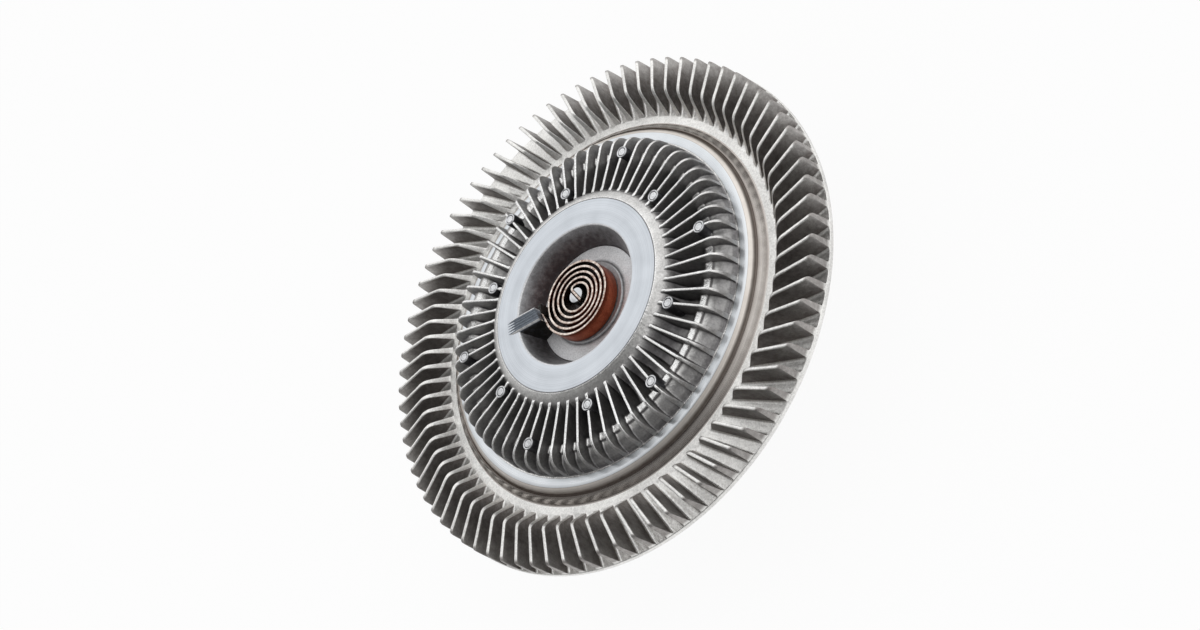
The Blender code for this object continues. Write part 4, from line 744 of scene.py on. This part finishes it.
# The input shaft is one steel forging, turned and milled: a hexagon collar with a threaded
# socket that screws on the pump, a neck, and the seats of the bearing and the rotor.
HEX_FLAT = 20.5             # from the axis to a flat
HEX_BEVEL = 22.07           # the corners are bevelled from here
HEX_TOP = 18.0
SOCKET_ROOT = 13.0
SHAFT_STEPS = 96
collar_steel = turned_metal("zinc plated steel", (150, 152, 150), (204, 205, 200), 0.34, 0.00003,
                            2400.0)
shaft_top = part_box("input_shaft")[1].z / MM
around = np.arange(SHAFT_STEPS) * math.tau / SHAFT_STEPS
hex_radius = HEX_FLAT / np.cos((around + math.pi / 6) % (math.pi / 3) - math.pi / 6)
bevel_rise = np.clip((hex_radius - HEX_BEVEL) / math.sqrt(3), 0, None)


def thread_radius(angles, height, root, depth, pitch):
    """The wavy wall of a thread at one height."""
    wave = 0.5 - 0.5 * np.cos(math.tau * (height / pitch - angles / math.tau))
    return root + depth * wave ** 0.8


def full_ring(radius, height):
    return np.stack([radius * np.cos(around), radius * np.sin(around),
                     np.broadcast_to(height, SHAFT_STEPS)], axis=-1)


rows = [full_ring(0.3, 16.0), full_ring(SOCKET_ROOT, 16.0)]
rows += [full_ring(thread_radius(around, z, SOCKET_ROOT, depth=0.9, pitch=1.5), z)
         for z in np.arange(15.8, 1.3, -0.25)]
rows += [full_ring(r, z) for r, z in
         ((13.9, 1.2), (15.1, 0.0), (np.minimum(hex_radius, HEX_BEVEL), 0.0),
          (hex_radius, bevel_rise), (hex_radius, 6.0), (hex_radius, 12.0),
          (hex_radius, HEX_TOP - bevel_rise), (np.minimum(hex_radius, HEX_BEVEL), HEX_TOP),
          (17.2, HEX_TOP), (16.3, 18.2), (16.0, 18.9), (16.0, 24.1), (15.7, 24.4), (12.9, 24.4),
          (12.9, 25.4), (10.0, 25.4), (10.0, 39.7), (9.0, 39.7), (9.0, 53.5), (7.8, 53.5),
          (7.8, 55.5), (9.0, 55.5), (9.0, shaft_top - 0.6), (8.4, shaft_top), (0.3, shaft_top))]
collar = skin("collar_and_shaft", np.array(rows)[::-1], 0.7, [collar_steel])
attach(collar, "drive")
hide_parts("input_shaft")

# Four plated studs are pressed in the fan seat from behind; the fan is nutted on to them.
STUD_STEPS = 28
THREAD_END = 36.8           # the plain shoulder in the fan seat begins here
stud_steel = turned_metal("plated studs", (160, 158, 140), (206, 204, 188), 0.36, 0.00002, 3000.0)
turn = np.arange(STUD_STEPS) * math.tau / STUD_STEPS
for i in range(4):
    low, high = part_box(f"fan_stud_{i + 1}")
    x, y = (low.x + high.x) / 2 / MM, (low.y + high.y) / 2 / MM
    low, high = low.z / MM, high.z / MM
    rows = [(0.2, low), (2.9, low), (3.3, low + 0.4)]
    rows += [(thread_radius(turn, z, root=3.35, depth=0.62, pitch=1.25), z)
             for z in np.arange(low + 0.8, THREAD_END, 0.21)]
    rows += [(3.9, 37.0), (3.9, 37.8), (4.2, 38.05), (4.0, high), (0.2, high)]
    points = np.array([np.stack([x + r * np.cos(turn), y + r * np.sin(turn),
                                 np.full(STUD_STEPS, z)], axis=-1) for r, z in rows])
    stud = skin(f"threaded_stud_{i + 1}", points[::-1], 0.7, [stud_steel])
    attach(stud, "housing")
    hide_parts(f"fan_stud_{i + 1}")

# The ball bearing is pressed in the boss and carries the housing on the shaft. Its ground
# rings and pressed shields show round the neck; an open ring keeps it in.
BALL_PITCH_RADIUS = 16.75
RACE_RADIUS = 3.9
RACE_HALF_ANGLE = 0.62
BEARING_STEPS = 96
ring_steel = turned_metal("ground bearing steel", (150, 152, 156), (214, 216, 220), 0.18, 0.00001,
                          6000.0)
shield_steel = turned_metal("pressed shield", (128, 130, 133), (188, 190, 193), 0.3, 0.00002,
                            1800.0)
inner_low, inner_high = (corner.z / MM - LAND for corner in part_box("bearing_inner_ring"))
middle = (inner_low + inner_high) / 2


def bearing_ring(name, node_name, bore, rim, body_name, race_side):
    """A ring with its ball groove; race_side is -1 inside the balls and 1 outside them."""
    groove = [(BALL_PITCH_RADIUS + race_side * RACE_RADIUS * math.cos(a),
               middle + RACE_RADIUS * math.sin(a))
              for a in np.linspace(-RACE_HALF_ANGLE, RACE_HALF_ANGLE, 13)]
    near, far = (bore, rim) if race_side < 0 else (rim, bore)
    outline = [(near, inner_low + 0.4), (near, inner_high - 0.4)]
    chamfer = 0.4 if near < far else -0.4
    outline += [(near + chamfer, inner_high), (far - chamfer * 0.5, inner_high),
                (far, inner_high - 0.2)]
    outline += groove[::-1] + [(far, inner_low + 0.2), (far - chamfer * 0.5, inner_low),
                               (near + chamfer, inner_low), (near, inner_low + 0.4)]
    if race_side > 0:
        outline = outline[::-1]
    ring = turned(name, outline, [ring_steel], steps=BEARING_STEPS)
    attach(ring, body_name)
    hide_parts(node_name)


bearing_ring("inner_race_ring", "bearing_inner_ring", 10.3, 13.6, "drive", -1)
bearing_ring("outer_race_ring", "bearing_outer_ring", 20.95, 23.2, "housing", 1)
for end in ("front", "rear"):
    low, high = (corner.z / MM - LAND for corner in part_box(f"bearing_shield_{end}"))
    outline = [(13.95, high), (14.6, high), (15.2, high - 0.15), (19.4, high - 0.15), (20.0, high),
               (20.6, high), (20.6, low), (20.0, low), (19.4, low + 0.15), (15.2, low + 0.15),
               (14.6, low), (13.95, low), (13.95, high)]
    shield = turned(f"shield_{end}", outline, [shield_steel], steps=BEARING_STEPS)
    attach(shield, "housing")
    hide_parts(f"bearing_shield_{end}")

# The keeper ring is open at one side, and its two ends are ears for the pliers. It springs
# into a groove of the boss, under the bearing.
CLIP_RIM = 24.4
EAR_SWEEP = 0.16            # radians at each end
clip_steel = turned_metal("spring ring steel", (66, 64, 62), (118, 114, 110), 0.38, 0.00002, 2200.0)
low, high = (corner.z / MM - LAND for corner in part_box("bearing_circlip"))
sweep = np.radians(np.linspace(-71, 251, 130))
from_end = np.minimum(sweep - sweep[0], sweep[-1] - sweep)
clip_inner = np.where(from_end < EAR_SWEEP, 19.9,
                      21.3 + 1.2 * np.exp(-((from_end - 0.25) / 0.3) ** 2))
clip_rows = []
for a, r in zip(sweep, clip_inner):
    clip_rows.append([(radius * math.cos(a), radius * math.sin(a), LAND + z) for radius, z in
                      ((r, low + 0.1), (r + 0.1, low), (CLIP_RIM - 0.1, low),
                       (CLIP_RIM, low + 0.1), (CLIP_RIM, high - 0.1), (CLIP_RIM - 0.1, high),
                       (r + 0.1, high), (r, high - 0.1), (r, low + 0.1))])
clip = sheet_mesh("bearing_keeper_ring", [(np.array(clip_rows), 0, True)], [clip_steel])
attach(clip, "housing")
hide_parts("bearing_circlip")

# Pieces inside the clutch keep their solid shapes: the rotor, the pump plate with its screws
# and valve arm, the bearing's cage and balls, the clips and the rubber seals.
rotor_metal = cast_aluminium("rotor casting", (150, 150, 152), (200, 200, 200), (230, 230, 230))
plate_steel = strip_metal("rolled plate", (150, 152, 154), (204, 205, 207), 0.35)
spring_steel = strip_metal("spring strip", (150, 140, 120), (206, 196, 172), 0.3)
cage_nylon = strip_metal("moulded cage", (196, 182, 142), (226, 214, 178), 0.55, 0.0)
seal_rubber = strip_metal("moulded rubber", (20, 20, 21), (42, 42, 44), 0.6, 0.0)
kept = {"rotor": rotor_metal, "rotor_circlip": clip_steel, "pump_plate": plate_steel,
        "valve_arm": spring_steel, "valve_clip": clip_steel, "bearing_cage": cage_nylon,
        "cover_seal": seal_rubber, "valve_seal": seal_rubber}
kept.update({f"plate_screw_{i}": collar_steel for i in range(1, 5)})
kept.update({f"bearing_ball_{i}": ring_steel for i in range(1, 9)})
for name, material in kept.items():
    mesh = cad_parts[name].data
    mesh.materials.clear()
    mesh.materials.append(material)

# The studio: a white floor that keeps a faint shadow, and a white sky. In the object's
# reflections the sky is dimmer towards the near side and in a patch overhead, as in a studio
# with dark walls. One large soft lamp hangs above and behind.
FLOOR_HALF = 6.0            # metres, as are the lamp's and the camera's places
FLOOR_GLOW = 0.93           # the share of its own white; the rest takes light and shadow
mesh = bpy.data.meshes.new("studio_floor")
mesh.from_pydata([(x * FLOOR_HALF, y * FLOOR_HALF, 0.0) for x, y in
                  ((-1, -1), (1, -1), (1, 1), (-1, 1))], [], [(0, 1, 2, 3)])
floor = bpy.data.objects.new("studio_floor", mesh)
bpy.context.scene.collection.objects.link(floor)
floor_paint, tree, shader = new_finish("white floor", 0.0, 0.9)
shader.inputs["Base Color"].default_value = (0.96, 0.96, 0.96, 1.0)
shader.inputs["Specular IOR Level"].default_value = 0.0
lit_white = node(tree, "Emission", {"Color": (1.0, 1.0, 1.0, 1.0), "Strength": 1.0}).outputs[0]
ray = node(tree, "LightPath").outputs
seen = arithmetic(tree, "MAXIMUM", ray["Is Camera Ray"], ray["Is Glossy Ray"])
seen = arithmetic(tree, "MULTIPLY", seen, FLOOR_GLOW)
both = node(tree, "MixShader", {0: seen, 1: shader.outputs[0], 2: lit_white}).outputs[0]
tree.links.new(both, tree.nodes["Material Output"].inputs["Surface"])
mesh.materials.append(floor_paint)

SKY_LIGHT = 0.72            # on matt surfaces
SKY_NEAR, SKY_FAR = 0.28, 1.1           # in reflections
SKY_HOOD = 0.15             # what the patch overhead keeps of that
world = bpy.data.worlds.new("studio")
bpy.context.scene.world = world
world.use_nodes = True
tree = world.node_tree
ray = node(tree, "LightPath").outputs
sky = node(tree, "TexCoord").outputs["Generated"]
toward = node(tree, "SeparateXYZ", {0: sky}).outputs["Y"]
shown = arithmetic(tree, "MAXIMUM", ray["Is Glossy Ray"], ray["Is Transmission Ray"])
overhead = node(tree, "VectorMath", {0: sky, 1: (-0.04, -0.18, 0.983)},
                operation="DOT_PRODUCT").outputs["Value"]
lit, hooded = [
    node(tree, "MapRange", {"Value": value, "From Min": low, "From Max": high, "To Min": at_low,
                            "To Max": at_high}, interpolation_type="SMOOTHSTEP").outputs[0]
    for value, low, high, at_low, at_high in ((toward, -0.6, 0.2, SKY_NEAR, SKY_FAR),
                                              (overhead, 0.88, 0.99, 1.0, SKY_HOOD))]
reflected = arithmetic(tree, "MULTIPLY", shown, arithmetic(tree, "MULTIPLY", lit, hooded))
strength = arithmetic(tree, "ADD", spread(tree, shown, 0.0, 1.0, SKY_LIGHT, 0.0), reflected)
strength = arithmetic(tree, "MAXIMUM", strength, ray["Is Camera Ray"])
background = tree.nodes["Background"]
background.inputs["Color"].default_value = (1.0, 1.0, 1.0, 1.0)
tree.links.new(strength, background.inputs["Strength"])

lamp = bpy.data.objects.new("overhead", bpy.data.lights.new("overhead", "AREA"))
bpy.context.scene.collection.objects.link(lamp)
lamp.data.size = 1.4
lamp.data.energy = 1.0
lamp.location = (0.15, 0.5, 0.9)
lamp.rotation_mode = "QUATERNION"
lamp.rotation_quaternion = (Vector((0, 0, 0.05)) - lamp.location).to_track_quat("-Z", "Y")

bpy.context.scene.view_settings.view_transform = "Standard"
camera = bpy.data.objects.new("camera", bpy.data.cameras.new("camera"))
bpy.context.scene.collection.objects.link(camera)
camera.location = (0.49521, -0.14559, 0.52604)
camera.rotation_mode = "QUATERNION"
camera.rotation_quaternion = Quaternion((0.908945, 0.15409, 0.374384, 0.099558))
camera.data.lens = 51.5005
camera.data.sensor_width = 36.0
bpy.context.scene.camera = camera
